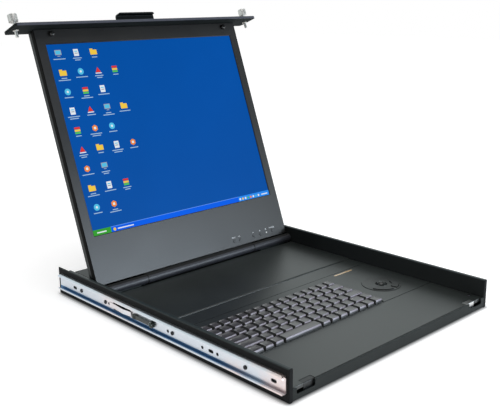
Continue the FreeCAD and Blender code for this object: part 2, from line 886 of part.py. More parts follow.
def make_back_cover():
    """The rear shell: chamfered round its back, vented at the top."""
    half = screen_width / 2
    drop = cover_chamfer
    walls = rounded_plate(-half, half, screen_v0, screen_v1, screen_corner, "z",
                          back_n + drop, split_n)
    rings = []
    for inset, level in ((0, back_n + drop), (drop, back_n)):
        ring = rounded_plate(-half + inset, half - inset, screen_v0 + inset, screen_v1 - inset,
                             screen_corner, "z", level, level + 1)
        low = [face for face in ring.Faces if face.BoundBox.ZMax < level + 0.01]
        rings.append(low[0].OuterWire)
    body = join([walls, Part.makeLoft(rings, True, True)])
    hollow = screen_box(cover_chamfer + cover_wall, back_n + cover_wall, split_n + 1)
    upper = screen_box(cover_wall, back_n + cover_chamfer, split_n + 1)
    cutters = [hollow, upper]
    middle = (vent_count - 1) / 2
    for index in range(vent_count):
        u = (index - middle) * vent_pitch
        cutters.append(vent_slot(u - vent_width / 2, u + vent_width / 2,
                                 screen_v0 + vent_foot, screen_v0 + vent_foot + vent_length,
                                 "z", back_n - 1, back_n + cover_wall + 1))
    body = body.cut(cutters)
    floor = back_n + cover_wall - 0.5
    posts = [rod(post_radius, (u, v, floor), (u, v, board_n - board_sheet))
             for u, v in board_posts_places()]
    return on_screen(join([body] + posts))


def board_posts_places():
    """Where the screen's control board is held."""
    v0 = screen_v0 + bezel_wall + board_foot
    return [(u, v) for u in (board_left + post_inset, board_right - post_inset)
            for v in (v0 + post_inset, v0 + board_tall - post_inset)]


def make_lcd_panel():
    """The glass and light unit behind the window."""
    half = view_width / 2 + lcd_margin
    body = block(-half, half, view_v0 - lcd_margin, view_v1 + lcd_margin,
                 plate_n - lcd_thickness, plate_n)
    return on_screen(body)


def make_lcd_frame():
    """The sheet-metal carrier behind the panel, with two hat ribs to the cover."""
    half = view_width / 2 + lcd_margin + frame_margin
    top_n = plate_n - lcd_thickness
    plate = block(-half, half, view_v0 - lcd_margin, view_v1 + lcd_margin,
                  top_n - frame_sheet, top_n)
    pieces = [plate]
    for side in (-1, 1):
        start = side * half
        end = side * (half - frame_margin + side_fit / 2)
        pieces.append(block(min(start, end), max(start, end), view_v0 - lcd_margin,
                            view_v1 + lcd_margin, top_n - frame_sheet, plate_n - side_fit))
        middle = side * rib_offset
        pieces.append(block(middle - rib_width / 2, middle + rib_width / 2,
                            view_v0 + frame_margin, vent_foot + screen_v0 - frame_margin,
                            back_n + cover_wall, top_n - frame_sheet))
    return on_screen(join(pieces))


def make_lcd_board():
    """The control board under the buttons, with a switch below each one."""
    v0 = screen_v0 + bezel_wall + board_foot
    pieces = [block(board_left, board_right, v0, v0 + board_tall, board_n - board_sheet, board_n)]
    half = switch_size / 2
    switch_top = plate_n - control_flange_height - control_stem - control_travel - side_fit / 2
    for u in control_places.values():
        pieces.append(block(u - half, u + half, control_v() - half, control_v() + half,
                            board_n, switch_top))
    return on_screen(join(pieces))


def make_control_button(u):
    """A round button with a flange behind the bezel and a stem to its switch."""
    v = control_v()
    gap = side_fit / 3
    flange_top = plate_n - gap
    flange_low = flange_top - control_flange_height
    cap = rod(control_radius, (u, v, flange_low), (u, v, face_n + control_proud))
    rim = [edge for edge in cap.Edges if edge.Closed and edge.BoundBox.ZMin > face_n]
    cap = cap.makeChamfer(0.3, rim)
    half = control_radius + control_flange
    flange = block(u - half, u + half, v - half, v + half, flange_low, flange_top)
    narrow = control_radius / 2
    stem = block(u - narrow, u + narrow, v - narrow, v + narrow,
                 flange_low - control_stem + gap, flange_low)
    return on_screen(join([cap, flange, stem]))


def make_power_led():
    """A light pipe from the board up to the bezel's face."""
    return on_screen(rod(led_radius, (led_place, control_v(), board_n),
                         (led_place, control_v(), face_n + led_proud)))


def make_lid_bumpers():
    """Two domed rubber bumpers near the screen's top edge."""
    v = screen_v1 - bumper_below_top
    bumpers = []
    for side in (-1, 1):
        u = side * bumper_offset
        body = rod(bumper_radius, (u, v, face_n), (u, v, face_n + bumper_height))
        rim = [edge for edge in body.Edges
               if edge.Closed and edge.BoundBox.ZMin > face_n + 0.1]
        bumpers.append(on_screen(body.makeChamfer(bumper_radius * 0.4, rim)))
    return Part.makeCompound(bumpers)


def make_lid_screws():
    """The two small screws that hold the rack panel's foot under the bezel."""
    v = screen_v1 - lid_screw_below_top
    screws = [on_screen(prism(polygon(side * lid_screw_offset, v, lid_screw_radius, 12), "z",
                              face_n, face_n + lid_screw_proud)) for side in (-1, 1)]
    return Part.makeCompound(screws)


# ---------------------------------------------------------------- rack panel pieces
def make_rack_panel():
    """The 19 inch panel across the screen's top edge."""
    half = panel_width / 2
    body = rounded_plate_across(-half, half, panel_n0, panel_n1, panel_corner, panel_v0, panel_v1)
    rim = [edge for edge in body.Edges if edge.BoundBox.YMin > panel_v1 - 0.01]
    body = body.makeChamfer(panel_edge, rim)
    holes = [rod(shank_radius + shank_fit, (side * rack_hole_offset, panel_v0 - 1, panel_mid_n),
                 (side * rack_hole_offset, panel_v1 + 1, panel_mid_n)) for side in (-1, 1)]
    return on_screen(body.cut(holes))


def rounded_plate_across(u0, u1, n0, n1, radius, v0, v1):
    """A rounded plate that lies across the screen's height."""
    return rounded_plate(u0, u1, n0, n1, radius, "y", v0, v1)


def handle_profile():
    """The pull handle's section: a root, a grip and a hooked end, as (v, n)."""
    v0 = panel_v1
    v1 = panel_v1 + handle_reach
    n0 = panel_n0 + handle_from_edge
    thick = handle_thick
    return [
        (v0, n0),
        (v1, n0, thick),
        (v1, n0 + handle_hook, thick * 0.48),
        (v1 - thick, n0 + handle_hook, thick * 0.48),
        (v1 - thick, n0 + thick, 2.0),
        (v0 + thick, n0 + thick, 2.5),
        (v0 + thick, n0 + handle_root, 0.8),
        (v0, n0 + handle_root),
    ]


def make_pull_handle():
    """The hooked pull handle on the front of the rack panel."""
    half = handle_length / 2
    body = prism(handle_profile(), "x", -half, half)
    keep = rounded_plate(-half, half, panel_v1 - handle_corner * 2, panel_v1 + handle_reach,
                         handle_corner, "z", panel_n0 - 1, panel_n1 + 1)
    return on_screen(body.common(keep))


def make_thumbscrew():
    """The right-hand captive screw: shank, clip groove, neck and fluted knob."""
    tip = panel_v0 - shank_behind
    groove_v0 = panel_v0 - clip_gap - clip_sheet - clip_fit
    groove_v1 = panel_v0 - clip_gap + clip_fit
    knob_foot = panel_v1 + screw_travel + clip_gap
    knob_v0 = knob_foot + knob_neck
    knob_v1 = knob_v0 + knob_length
    shank = rod(shank_radius, (0, tip, 0), (0, knob_foot + 0.5, 0))
    end = [edge for edge in shank.Edges if edge.Closed and edge.BoundBox.YMax < tip + 0.1]
    shank = shank.makeChamfer(0.8, end)
    ring = tube(shank_radius + 1, clip_groove_radius, (0, groove_v0, 0), (0, groove_v1, 0))
    neck = rod(knob_neck_radius, (0, knob_foot, 0), (0, knob_v0 + 0.5, 0))
    star = []
    for index in range(knob_flutes * 2):
        angle = math.pi * index / knob_flutes
        radius = knob_radius - (knob_flute_depth if index % 2 else 0)
        star.append((radius * math.cos(angle), radius * math.sin(angle)))
    body = prism(star, "y", knob_v0, knob_v1 - knob_edge)
    crown = prism(polygon(0, 0, knob_radius - knob_flute_depth, knob_flutes), "y",
                  knob_v1 - knob_edge, knob_v1 - knob_edge * 0.4)
    cap = prism(polygon(0, 0, knob_radius - knob_edge, knob_flutes), "y",
                knob_v1 - knob_edge * 0.4, knob_v1)
    slit = block(-knob_radius, knob_radius, knob_v1 - knob_slot, knob_v1 + 1,
                 -knob_slot / 2, knob_slot / 2)
    screw = join([shank.cut(ring), neck, body, crown, cap]).cut(slit)
    screw.translate(Vector(rack_hole_offset, 0, panel_mid_n))
    return on_screen(screw)


def make_thumbscrew_clip():
    """The right-hand clip in the screw's groove, which keeps it in the panel."""
    v1 = panel_v0 - clip_gap
    return on_screen(tube(clip_radius, clip_groove_radius + clip_fit,
                          (rack_hole_offset, v1 - clip_sheet, panel_mid_n),
                          (rack_hole_offset, v1, panel_mid_n)))


# ---------------------------------------------------------------- slide pieces
def make_slide_member():
    """The right-hand slide member: a raceway channel with its latch blade."""
    x0 = slide_x0
    x1 = slide_x0 + slide_depth
    z0 = slide_z0
    z1 = slide_z0 + slide_height
    sheet = slide_sheet
    outer = slide_raceway + sheet
    profile = [
        (x0, z0),
        (x1, z0, outer - 0.2),
        (x1, z0 + slide_lip + sheet),
        (x1 - sheet, z0 + slide_lip + sheet),
        (x1 - sheet, z0 + sheet, slide_raceway - 0.2),
        (x0 + sheet, z0 + sheet, slide_raceway),
        (x0 + sheet, z1 - sheet, slide_raceway),
        (x1 - sheet, z1 - sheet, slide_raceway - 0.2),
        (x1 - sheet, z1 - slide_lip - sheet),
        (x1, z1 - slide_lip - sheet),
        (x1, z1, outer - 0.2),
        (x0, z1),
    ]
    y0 = front_y + slide_front
    y1 = rear_y - slide_rear
    body = prism(profile, "y", y0, y1)
    keep = rounded_plate(y0, y1, z0, z1, slide_end_round, "x", x0 - 1, x1 + 1)
    body = body.common(keep)
    cutters = []
    for place in slide_holes:
        if place not in slide_screws:
            cutters.append(rod(slide_hole_radius, (x0 - 1, from_front(place), slide_mid_z),
                               (x0 + sheet + 1, from_front(place), slide_mid_z)))
    for place in slide_slots:
        cutters.append(slot(from_front(place), slide_mid_z, slide_slot_length,
                            2 * slide_hole_radius, "x", x0 - 1, x0 + sheet + 1))
    cutters.append(rounded_plate(from_front(latch_window_start), from_front(latch_window_end),
                                 slide_mid_z - latch_window_height / 2,
                                 slide_mid_z + latch_window_height / 2, 3.0,
                                 "x", x0 - 1, x0 + sheet + 1))
    body = body.cut(cutters)
    return join([body, make_latch_blade(), make_lever_pin()])


def make_latch_blade():
    """The sprung blade lanced out of the web, bowed out over its window."""
    web = slide_x0 + slide_sheet
    sheet = latch_blade_sheet
    rise = latch_blade_rise
    y0 = from_front(latch_window_start)
    y1 = from_front(latch_window_end)
    third = (y1 - y0) / 3
    profile = [
        (web, y1 + 2),
        (web, y1, 2.0),
        (web + rise, y0 + third, 6.0),
        (web + rise * 0.4, y0, 1.5),
        (web + rise * 0.4, y0 - 3),
        (web + rise * 0.4 + sheet, y0 - 3),
        (web + rise * 0.4 + sheet, y0 + 0.4, 1.5),
        (web + rise + sheet, y0 + third, 6.0),
        (web + sheet, y1 + 1, 2.0),
        (web + sheet, y1 + 8),
        (web - 0.2, y1 + 8),
        (web - 0.2, y1 + 2),
    ]
    low = slide_mid_z - latch_blade_height / 2
    return prism(profile, "z", low, low + latch_blade_height)


def make_lever_pin():
    """The headed pin that the release lever turns on."""
    y = from_front(lever_pivot)
    web = slide_x0 + slide_sheet
    head_x = web + lever_side_gap * 2 + lever_thick
    pin = rod(lever_pin_radius, (web - 0.2, y, slide_mid_z), (head_x, y, slide_mid_z))
    head = rod(lever_head_radius, (head_x, y, slide_mid_z), (head_x + lever_head, y, slide_mid_z))
    return pin.fuse(head)


def make_release_lever():
    """The right-hand release lever: a round hub, a waisted arm and a thumb pad."""
    x0 = slide_x0 + slide_sheet + lever_side_gap
    x1 = x0 + lever_thick
    y = from_front(lever_pivot)
    z = slide_mid_z
    tip_y = y + lever_length
    hub = rod(lever_hub_radius, (x0, y, z), (x1, y, z))
    arm = prism([
        (y, z - lever_waist_height / 2),
        (tip_y - lever_neck, z - lever_waist_height / 2, 4.0),
        (tip_y - lever_pad, z - lever_tip_height / 2, 4.0),
        (tip_y, z - lever_tip_height / 2, 2.5),
        (tip_y, z + lever_tip_height / 2, 2.5),
        (tip_y - lever_pad, z + lever_tip_height / 2, 4.0),
        (tip_y - lever_neck, z + lever_waist_height / 2, 4.0),
        (y, z + lever_waist_height / 2),
    ], "x", x0, x1)
    ribs = [block(x1 - 0.7, x1 + 0.1, tip_y - 9 + step * 2.2, tip_y - 8 + step * 2.2,
                  z - lever_tip_height, z + lever_tip_height) for step in range(3)]
    bore = rod(lever_pin_radius + lever_pin_fit, (x0 - 1, y, z), (x1 + 1, y, z))
    return join([hub, arm]).cut([bore] + ribs)


# ---------------------------------------------------------------- rear box pieces
def make_rear_housing():
    """The folded cover over the connector board, slotted along its top."""
    half = box_width / 2
    body = block(-half, half, box_y0, box_y1, base_sheet, box_top)
    rim = [edge for edge in body.Edges if edge.BoundBox.ZMin > box_top - 0.01
           and edge.BoundBox.YMax < box_y1 - 1]
    body = body.makeFillet(1.5, rim)
    hollow = block(-half + box_sheet, half - box_sheet, box_y0 + box_sheet, box_y1 + 1,
                   base_sheet - 1, box_top - box_sheet)
    middle = (box_slots - 1) / 2
    slots = []
    for index in range(box_slots):
        x = (index - middle) * box_slot_pitch
        y = (box_y0 + box_y1) / 2
        slots.append(vent_slot(x - box_slot_width / 2, x + box_slot_width / 2,
                               y - box_slot_length / 2, y + box_slot_length / 2,
                               "z", box_top - 3, box_top + 1))
    return body.cut([hollow] + slots)


def make_io_panel():
    """The rear panel of the box, bent to a foot, cut for its two connectors."""
    half = box_width / 2
    profile = [
        (box_y1, base_sheet + io_sheet),
        (box_y1, box_top),
        (rear_y, box_top),
        (rear_y, base_sheet),
        (box_y1 - io_foot, base_sheet),
        (box_y1 - io_foot, base_sheet + io_sheet),
    ]
    inset = box_sheet + side_fit
    plate = block(-half, half, box_y1, rear_y, base_sheet, box_top)
    foot = prism(profile, "x", -half + inset, half - inset)
    body = join([plate, foot])
    fit = port_fit
    port = rounded_plate(port_offset - port_shell_width / 2 - fit,
                         port_offset + port_shell_width / 2 + fit,
                         port_lift - port_shell_tall / 2 - fit,
                         port_lift + port_shell_tall / 2 + fit, 2.0, "y", box_y1 - 1, rear_y + 1)
    inlet = block(inlet_offset - inlet_width / 2 - fit, inlet_offset + inlet_width / 2 + fit,
                  box_y1 - 1, rear_y + 1, port_lift - inlet_tall / 2 - fit,
                  port_lift + inlet_tall / 2 + fit)
    screws = [rod(port_screw_radius * 0.7, (port_offset + side * port_screw_spacing / 2,
                                            box_y1 - 1, port_lift),
                  (port_offset + side * port_screw_spacing / 2, rear_y + 1, port_lift))
              for side in (-1, 1)]
    return body.cut([port, inlet] + screws)


def make_console_port():
    """The D-shaped console connector with its two jack posts."""
    wide = port_shell_width / 2
    tall = port_shell_tall / 2
    taper = 1.4
    y1 = rear_y + port_shell_reach
    shell = prism([
        (port_offset - wide, port_lift + tall, 1.8),
        (port_offset + wide, port_lift + tall, 1.8),
        (port_offset + wide - taper, port_lift - tall, 1.8),
        (port_offset - wide + taper, port_lift - tall, 1.8),
    ], "y", box_y1 - 10, y1)
    mouth = prism([
        (port_offset - wide + 0.7, port_lift + tall - 0.7, 1.2),
        (port_offset + wide - 0.7, port_lift + tall - 0.7, 1.2),
        (port_offset + wide - taper - 0.7, port_lift - tall + 0.7, 1.2),
        (port_offset - wide + taper + 0.7, port_lift - tall + 0.7, 1.2),
    ], "y", y1 - 4.6, y1 + 1)
    flange = rounded_plate(port_offset - port_width / 2, port_offset + port_width / 2,
                           port_lift - port_tall / 2, port_lift + port_tall / 2, 1.0,
                           "y", box_y1 - 1.2, box_y1)
    body = block(port_offset - wide - 1, port_offset + wide + 1, box_y1 - 11, box_y1 - 1,
                 board_top(), port_lift + tall)
    posts = [rod(port_screw_radius * 0.66, (port_offset + side * port_screw_spacing / 2,
                                           box_y1 - 1, port_lift),
                 (port_offset + side * port_screw_spacing / 2, rear_y, port_lift))
             for side in (-1, 1)]
    heads = [prism(polygon(port_offset + side * port_screw_spacing / 2, port_lift,
                           port_screw_radius, 6), "y", rear_y, rear_y + 4.5) for side in (-1, 1)]
    return join([shell.cut(mouth), flange, body] + posts + heads)


def make_dc_inlet():
    """The low-voltage power inlet: a box with a round socket and its pin."""
    x0 = inlet_offset - inlet_width / 2
    z0 = port_lift - inlet_tall / 2
    body = block(x0, x0 + inlet_width, rear_y - inlet_depth, rear_y, z0, z0 + inlet_tall)
    foot = block(x0, x0 + inlet_width, rear_y - inlet_depth, box_y1 - 2, board_top(), z0 + 1)
    socket = rod(inlet_bore, (inlet_offset, rear_y - inlet_depth + 3, port_lift),
                 (inlet_offset, rear_y + 1, port_lift))
    pin = rod(inlet_pin, (inlet_offset, rear_y - inlet_depth + 2, port_lift),
              (inlet_offset, rear_y - 1, port_lift))
    return join([join([body, foot]).cut(socket), pin])


def board_top():
    """The top of the connector board."""
    return base_sheet + board_posts + board_sheet


def make_control_board():
    """The connector board on its four posts, with its larger chips."""
    half = main_board_width / 2
    y1 = box_y1 - 1.5
    y0 = y1 - main_board_depth
    low = base_sheet + board_posts
    pieces = [block(-half, half, y0, y1, low, board_top())]
    for x in (-half + post_inset, half - post_inset):
        for y in (y0 + post_inset, y1 - post_inset - io_foot):
            pieces.append(rod(post_radius, (x, y, base_sheet), (x, y, low)))
    for x, size, tall in board_chips:
        y = y0 + board_chip_inset
        pieces.append(block(x - size / 2, x + size / 2, y - size / 2, y + size / 2,
                            board_top(), board_top() + tall))
    return join(pieces)


# ---------------------------------------------------------------- the assembly
def build():
    """Every node's shape, by name."""
    channel = make_side_channel()
    slide_member = make_slide_member()
    lever = make_release_lever()
    barrel = make_hinge_barrel()
    pin = make_hinge_pin()
    bracket = make_hinge_bracket()
    thumbscrew = make_thumbscrew()
    clip = make_thumbscrew_clip()
    nodes = {
        "base_plate": make_base_plate(),
        "side_channel_right": channel,
        "side_channel_left": mirrored(channel),
        "palm_rest": make_palm_rest(),
        "keyboard_cover": make_keyboard_cover(),
        "rear_deck": make_rear_deck(),
        "deck_standoffs": make_deck_standoffs(),
        "tray_screws": make_tray_screws(),
        "keyboard_backplate": make_backplate(),
        "keyboard_membrane": make_membrane(),
        "keyboard_guide_plate": make_guide_plate(),
        "pointer_housing": make_pointer_housing(),
        "trackball": make_trackball(),
        "pointer_button_left": make_pointer_button(-1),
        "pointer_button_right": make_pointer_button(1),
        "indicator_lens": make_indicator_lens(),
        "strike_plates": make_strike_plates(),
        "hinge_barrel_right": barrel,
        "hinge_barrel_left": mirrored(barrel),
        "hinge_pin_right": pin,
        "hinge_pin_left": mirrored(pin),
        "hinge_bracket_right": bracket,
        "hinge_bracket_left": mirrored(bracket),
        "hinge_centre_barrel": make_centre_barrel(),
        "lcd_bezel": make_bezel(),
        "lcd_back_cover": make_back_cover(),
        "lcd_panel": make_lcd_panel(),
        "lcd_frame": make_lcd_frame(),
        "lcd_board": make_lcd_board(),
        "power_led": make_power_led(),
        "lid_bumpers": make_lid_bumpers(),
        "lid_screws": make_lid_screws(),
        "rack_panel": make_rack_panel(),
        "pull_handle": make_pull_handle(),
        "thumbscrew_right": thumbscrew,
        "thumbscrew_left": mirrored(thumbscrew),
        "thumbscrew_clip_right": clip,
        "thumbscrew_clip_left": mirrored(clip),
        "slide_member_right": slide_member,
        "slide_member_left": mirrored(slide_member),
        "release_lever_right": lever,
        "release_lever_left": mirrored(lever),
        "rear_housing": make_rear_housing(),
        "rear_io_panel": make_io_panel(),
        "console_port": make_console_port(),
        "dc_inlet": make_dc_inlet(),
        "control_board": make_control_board(),
    }
    for name, (row, spans) in keyboard_rows().items():
        nodes[name] = make_key_row(name, row, spans)
    for name, place in control_places.items():
        nodes["control_button_" + name] = make_control_button(place)
    return nodes


def main():
    """Write one STEP file per node."""
    os.makedirs("parts", exist_ok=True)
    for name, shape in build().items():
        shape.exportStep(os.path.join("parts", name + ".step"))


main()
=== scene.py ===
"""Rackmount LCD console drawer: finishes, small pieces and the stage."""
import json
import math

import bmesh
import bpy
from bpy.props import FloatProperty, FloatVectorProperty, PointerProperty
from mathutils import Matrix, Vector


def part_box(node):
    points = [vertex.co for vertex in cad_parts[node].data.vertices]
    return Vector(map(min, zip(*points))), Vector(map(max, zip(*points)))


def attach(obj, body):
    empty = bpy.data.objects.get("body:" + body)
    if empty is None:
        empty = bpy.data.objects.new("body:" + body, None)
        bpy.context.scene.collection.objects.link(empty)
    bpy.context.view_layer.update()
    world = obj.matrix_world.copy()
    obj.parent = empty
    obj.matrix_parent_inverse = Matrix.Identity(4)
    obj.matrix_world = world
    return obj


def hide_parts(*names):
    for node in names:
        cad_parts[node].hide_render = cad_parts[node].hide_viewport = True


bl_info = {
    "name": "Rackmount LCD console drawer",
    "version": (1, 0, 0),
    "blender": (4, 5, 0),
    "location": "3D View > Sidebar > Console drawer",
    "description": "Finishes, keycaps, desktop picture and stage of a rackmount console drawer",
    "category": "Object",
}

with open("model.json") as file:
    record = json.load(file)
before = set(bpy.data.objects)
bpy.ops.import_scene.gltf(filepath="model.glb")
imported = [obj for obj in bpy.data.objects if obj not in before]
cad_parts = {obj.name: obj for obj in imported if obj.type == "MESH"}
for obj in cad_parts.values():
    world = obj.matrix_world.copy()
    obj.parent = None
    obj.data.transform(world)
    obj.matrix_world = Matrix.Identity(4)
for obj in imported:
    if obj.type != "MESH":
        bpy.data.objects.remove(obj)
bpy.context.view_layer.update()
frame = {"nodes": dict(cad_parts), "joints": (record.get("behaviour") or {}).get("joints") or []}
NODES = frame["nodes"]
JOINTS = {joint["name"]: joint for joint in frame["joints"]}

# ---------------------------------------------------------------- places from the frame
HINGE = Vector(JOINTS["screen_hinge"]["pos_m"])
FACE_NORMAL = -Vector(JOINTS["control_button_menu_press"]["axis"]).normalized()
UP_SCREEN = Vector((1, 0, 0)).cross(-FACE_NORMAL).normalized()
SCREEN = Matrix((
    (1, UP_SCREEN.x, FACE_NORMAL.x, HINGE.x),
    (0, UP_SCREEN.y, FACE_NORMAL.y, HINGE.y),
    (0, UP_SCREEN.z, FACE_NORMAL.z, HINGE.z),
    (0, 0, 0, 1),
))


def corners(spots):
    """The lowest and highest corner around some points."""
    along = list(zip(*spots))
    return [min(axis) for axis in along], [max(axis) for axis in along]


def screen_box(node):
    """The lowest and highest corner of a node in the screen's own frame."""
    turn = SCREEN.inverted()
    low, high = corners([turn @ vertex.co for vertex in NODES[node].data.vertices])
    return Vector(low), Vector(high)


# ---------------------------------------------------------------- settings
def colour(name, description, default):
    """A colour setting."""
    return FloatVectorProperty(name=name, description=description, subtype="COLOR",
                               size=3, min=0.0, max=1.0, default=default)


def length(name, description, default):
    """A length setting in metres."""
    return FloatProperty(name=name, description=description, unit="LENGTH",
                         subtype="DISTANCE", default=default)


def tilt(name, description, degrees):
    """An angle setting, its default given in degrees."""
    return FloatProperty(name=name, description=description, subtype="ANGLE",
                         default=math.radians(degrees))


def share(name, description, default):
    """A setting from nothing to full."""
    return FloatProperty(name=name, description=description, min=0.0, max=1.0, default=default)


class FinishSettings(bpy.types.PropertyGroup):
    """Colours of the drawer's finishes."""

    powder: colour("Powder coat", "Black powder coat of the tray", (0.009, 0.0135, 0.0140))
    deck: colour("Deck paint", "Paint of the three deck pieces", (0.0115, 0.0152, 0.0138))
    bezel: colour("Bezel paint", "Paint around the picture", (0.0078, 0.0072, 0.0072))
    zinc: colour("Zinc", "Bright zinc plate of the slides", (0.66, 0.7, 0.75))
    keycap: colour("Keycap", "Moulded keycaps", (0.046, 0.041, 0.043))
    silver: colour("Nickel", "Nickel plate of the captive screws", (0.72, 0.71, 0.69))
    desktop: colour("Desktop", "Background of the picture", (0.0, 0.0762, 0.362))
    task_bar: colour("Task bar", "Strip along the picture's foot", (0.0, 0.107, 0.78))
    launcher: colour("Launcher", "Block at the strip's left end", (0.035, 0.33, 0.028))
    print_white: colour("Printed marks", "Marks above the control buttons", (0.8, 0.82, 0.84))


class KeySettings(bpy.types.PropertyGroup):
    """Sizes of the moulded keycaps."""

    edge: length("Edge", "Rounding of a keycap's corners", 0.0011)
    dish: length("Dish", "Depth of the hollow in a keycap's top", 0.0005)


class StageSettings(bpy.types.PropertyGroup):
    """Camera and room."""

    yaw: tilt("Yaw", "Camera's turn to the right", 43.377)
    pitch: tilt("Pitch", "Camera's tilt downwards", 14.624)
    roll: tilt("Roll", "Camera's roll", -0.481)
    lens: FloatProperty(name="Lens", description="Focal length on a 36 mm sensor",
                        default=57.133)
    place: FloatVectorProperty(name="Camera place", description="Camera's position",
                               subtype="TRANSLATION", size=3,
                               default=(-0.8096, -0.82099, 0.45061))
    sky: share("Sky", "Strength of the room's light on the object", 0.5)
    ceiling: share("Ceiling", "Brightness of the room above, as polished parts show it", 0.05)


# ---------------------------------------------------------------- shader maths
def arithmetic(operation, mirrored=False):
    """A method of Value that adds one Math node."""
    def work(value, other=None):
        pair = (other, value) if mirrored else (value, other)
        made = value.nodes.node("ShaderNodeMath", {"operation": operation}, {
            index: item for index, item in enumerate(pair) if item is not None})
        return Value(value.nodes, made.outputs[0])
    return work


class Value:
    """A number in a shader, with the usual arithmetic."""

    def __init__(self, nodes, socket):
        self.nodes = nodes
        self.socket = socket

    __add__ = arithmetic("ADD")
    __radd__ = arithmetic("ADD", True)
    __sub__ = arithmetic("SUBTRACT")
    __rsub__ = arithmetic("SUBTRACT", True)
    __mul__ = arithmetic("MULTIPLY")
    __rmul__ = arithmetic("MULTIPLY", True)
    __gt__ = arithmetic("GREATER_THAN")
    size = arithmetic("ABSOLUTE")
    wave = arithmetic("SINE")
    repeat = arithmetic("FRACT")


class Nodes:
    """A node tree and short ways to add to it."""

    def __init__(self, tree):
        self.tree = tree

    def feed(self, node, inputs):
        """Put numbers, colours, sockets or Values into a node's sockets."""
        for key, value in inputs.items():
            if isinstance(value, Value):
                value = value.socket
            if isinstance(value, bpy.types.NodeSocket):
                self.tree.links.new(value, node.inputs[key])
            else:
                node.inputs[key].default_value = value

    def node(self, kind, settings=None, inputs=None):
        """Add a node, its settings first and then its sockets."""
        made = self.tree.nodes.new(kind)
        for name, value in (settings or {}).items():
            setattr(made, name, value)
        self.feed(made, inputs or {})
        return made

    def span(self, value, low, high, start=0.0, end=1.0):
        """A value from low to high, eased to start to end."""
        made = self.node("ShaderNodeMapRange", {"interpolation_type": "SMOOTHSTEP"},
                         {"Value": value, "From Min": low, "From Max": high,
                          "To Min": start, "To Max": end})
        return Value(self, made.outputs[0])

    def fade(self, value, low, high):
        """Full up to low, and nothing from high on."""
        return self.span(value, low, high, 1.0, 0.0)

    def near(self, value, place, low, high):
        """Full within low of a place, and nothing from high on."""
        return self.fade((value - place).size(), low, high)

    def ray(self, kind):
        """One for a kind of ray, and nothing for the others."""
        return Value(self, self.node("ShaderNodeLightPath").outputs[f"Is {kind} Ray"])

    def cover(self, factor, first, second):
        """One shader over another."""
        return self.node("ShaderNodeMixShader", None,
                         {0: factor, 1: first, 2: second}).outputs[0]


class Finish(Nodes):
    """One procedural material and short ways to build it."""

    def __init__(self, name, roughness=0.5, metallic=0.0):
        self.name = name
        self.material = bpy.data.materials.new(name)
        self.material.use_nodes = True
        super().__init__(self.material.node_tree)
        self.shader = self.tree.nodes["Principled BSDF"]
        self.place = self.node("ShaderNodeTexCoord").outputs["Object"]
        self.set("Roughness", roughness)
        self.set("Metallic", metallic)

    def set(self, socket, value):
        """Set or link one of the shader's sockets."""
        self.feed(self.shader, {socket: value})

    def show(self, shader):
        """Give the surface another shader than the finish's own."""
        self.feed(self.tree.nodes["Material Output"], {"Surface": shader})

    def coat(self):
        """The colour laid so far."""
        return self.shader.inputs["Base Color"].links[0].from_socket

    def axis(self, name):
        """The object's X, Y or Z coordinate, in metres."""
        split = self.node("ShaderNodeSeparateXYZ", None, {0: self.place})
        return Value(self, split.outputs[name])

    def along(self, operation, *vector):
        """The length of the object's coordinates, or their reach along a vector."""
        made = self.node("ShaderNodeVectorMath", {"operation": operation},
                         dict(enumerate((self.place, *vector))))
        return Value(self, made.outputs["Value"])

    def noise(self, scale, detail=3.0, place=None):
        """Cloudy noise from 0 to 1, about scale bumps to the metre."""
        made = self.node("ShaderNodeTexNoise", None,
                         {"Vector": place or self.place, "Scale": scale,
                          "Detail": detail, "Roughness": 0.55})
        return Value(self, made.outputs["Fac"])

    def streaks(self, scales, detail=4.0):
        """Noise with its own number of bumps to the metre along each axis."""
        mapping = self.node("ShaderNodeMapping", {"vector_type": "POINT"},
                            {"Vector": self.place, "Scale": scales})
        return self.noise(1.0, detail, mapping.outputs[0])

    def cells(self, scale):
        """Distance to the nearest of many scattered points."""
        made = self.node("ShaderNodeTexVoronoi", None, {"Vector": self.place, "Scale": scale})
        return Value(self, made.outputs["Distance"])

    def mix(self, factor, first, second):
        """One colour over another."""
        colours = [item if isinstance(item, bpy.types.NodeSocket) else (*item[:3], 1.0)
                   for item in (first, second)]
        return self.node("ShaderNodeMix", {"data_type": "RGBA"},
                         {0: factor, 6: colours[0], 7: colours[1]}).outputs[2]

    def paint(self, factor, first, second):
        """Make the base colour one colour over another."""
        self.set("Base Color", self.mix(factor, first, second))

    def bump(self, height, distance, strength=0.5):
        """Raise the surface by a height map."""
        made = self.node("ShaderNodeBump", None, {"Height": height, "Distance": distance,
                                                  "Strength": strength})
        self.set("Normal", made.outputs[0])


def lighter(base, factor):
    """A colour made lighter or darker."""
    return tuple(min(1.0, part * factor) for part in base)


def around(base, spread):
    """A darker and a lighter shade of a colour."""
    return lighter(base, 1.0 - spread), lighter(base, 1.0 + spread)


def painted(name, base, roughness, grain, depth=0.00003, shine=0.5):
    """Powder coat: fine orange peel, cloudy tone and a few dust specks."""
    finish = Finish(name)
    finish.set("Specular IOR Level", shine)
    cloud = finish.noise(7.0, 4.0)
    peel = finish.noise(grain, 2.0)
    fleck = finish.fade(finish.cells(grain * 0.45), 0.0, 0.16)
    tone = finish.mix(finish.span(cloud, 0.3, 0.7), *around(base, 0.3))
    finish.paint(fleck * 0.16, tone, lighter(base, 3.0))
    finish.set("Roughness", roughness + (cloud - 0.5) * 0.12 + (peel - 0.5) * 0.1)
    finish.bump(peel, depth, 0.6)
    return finish


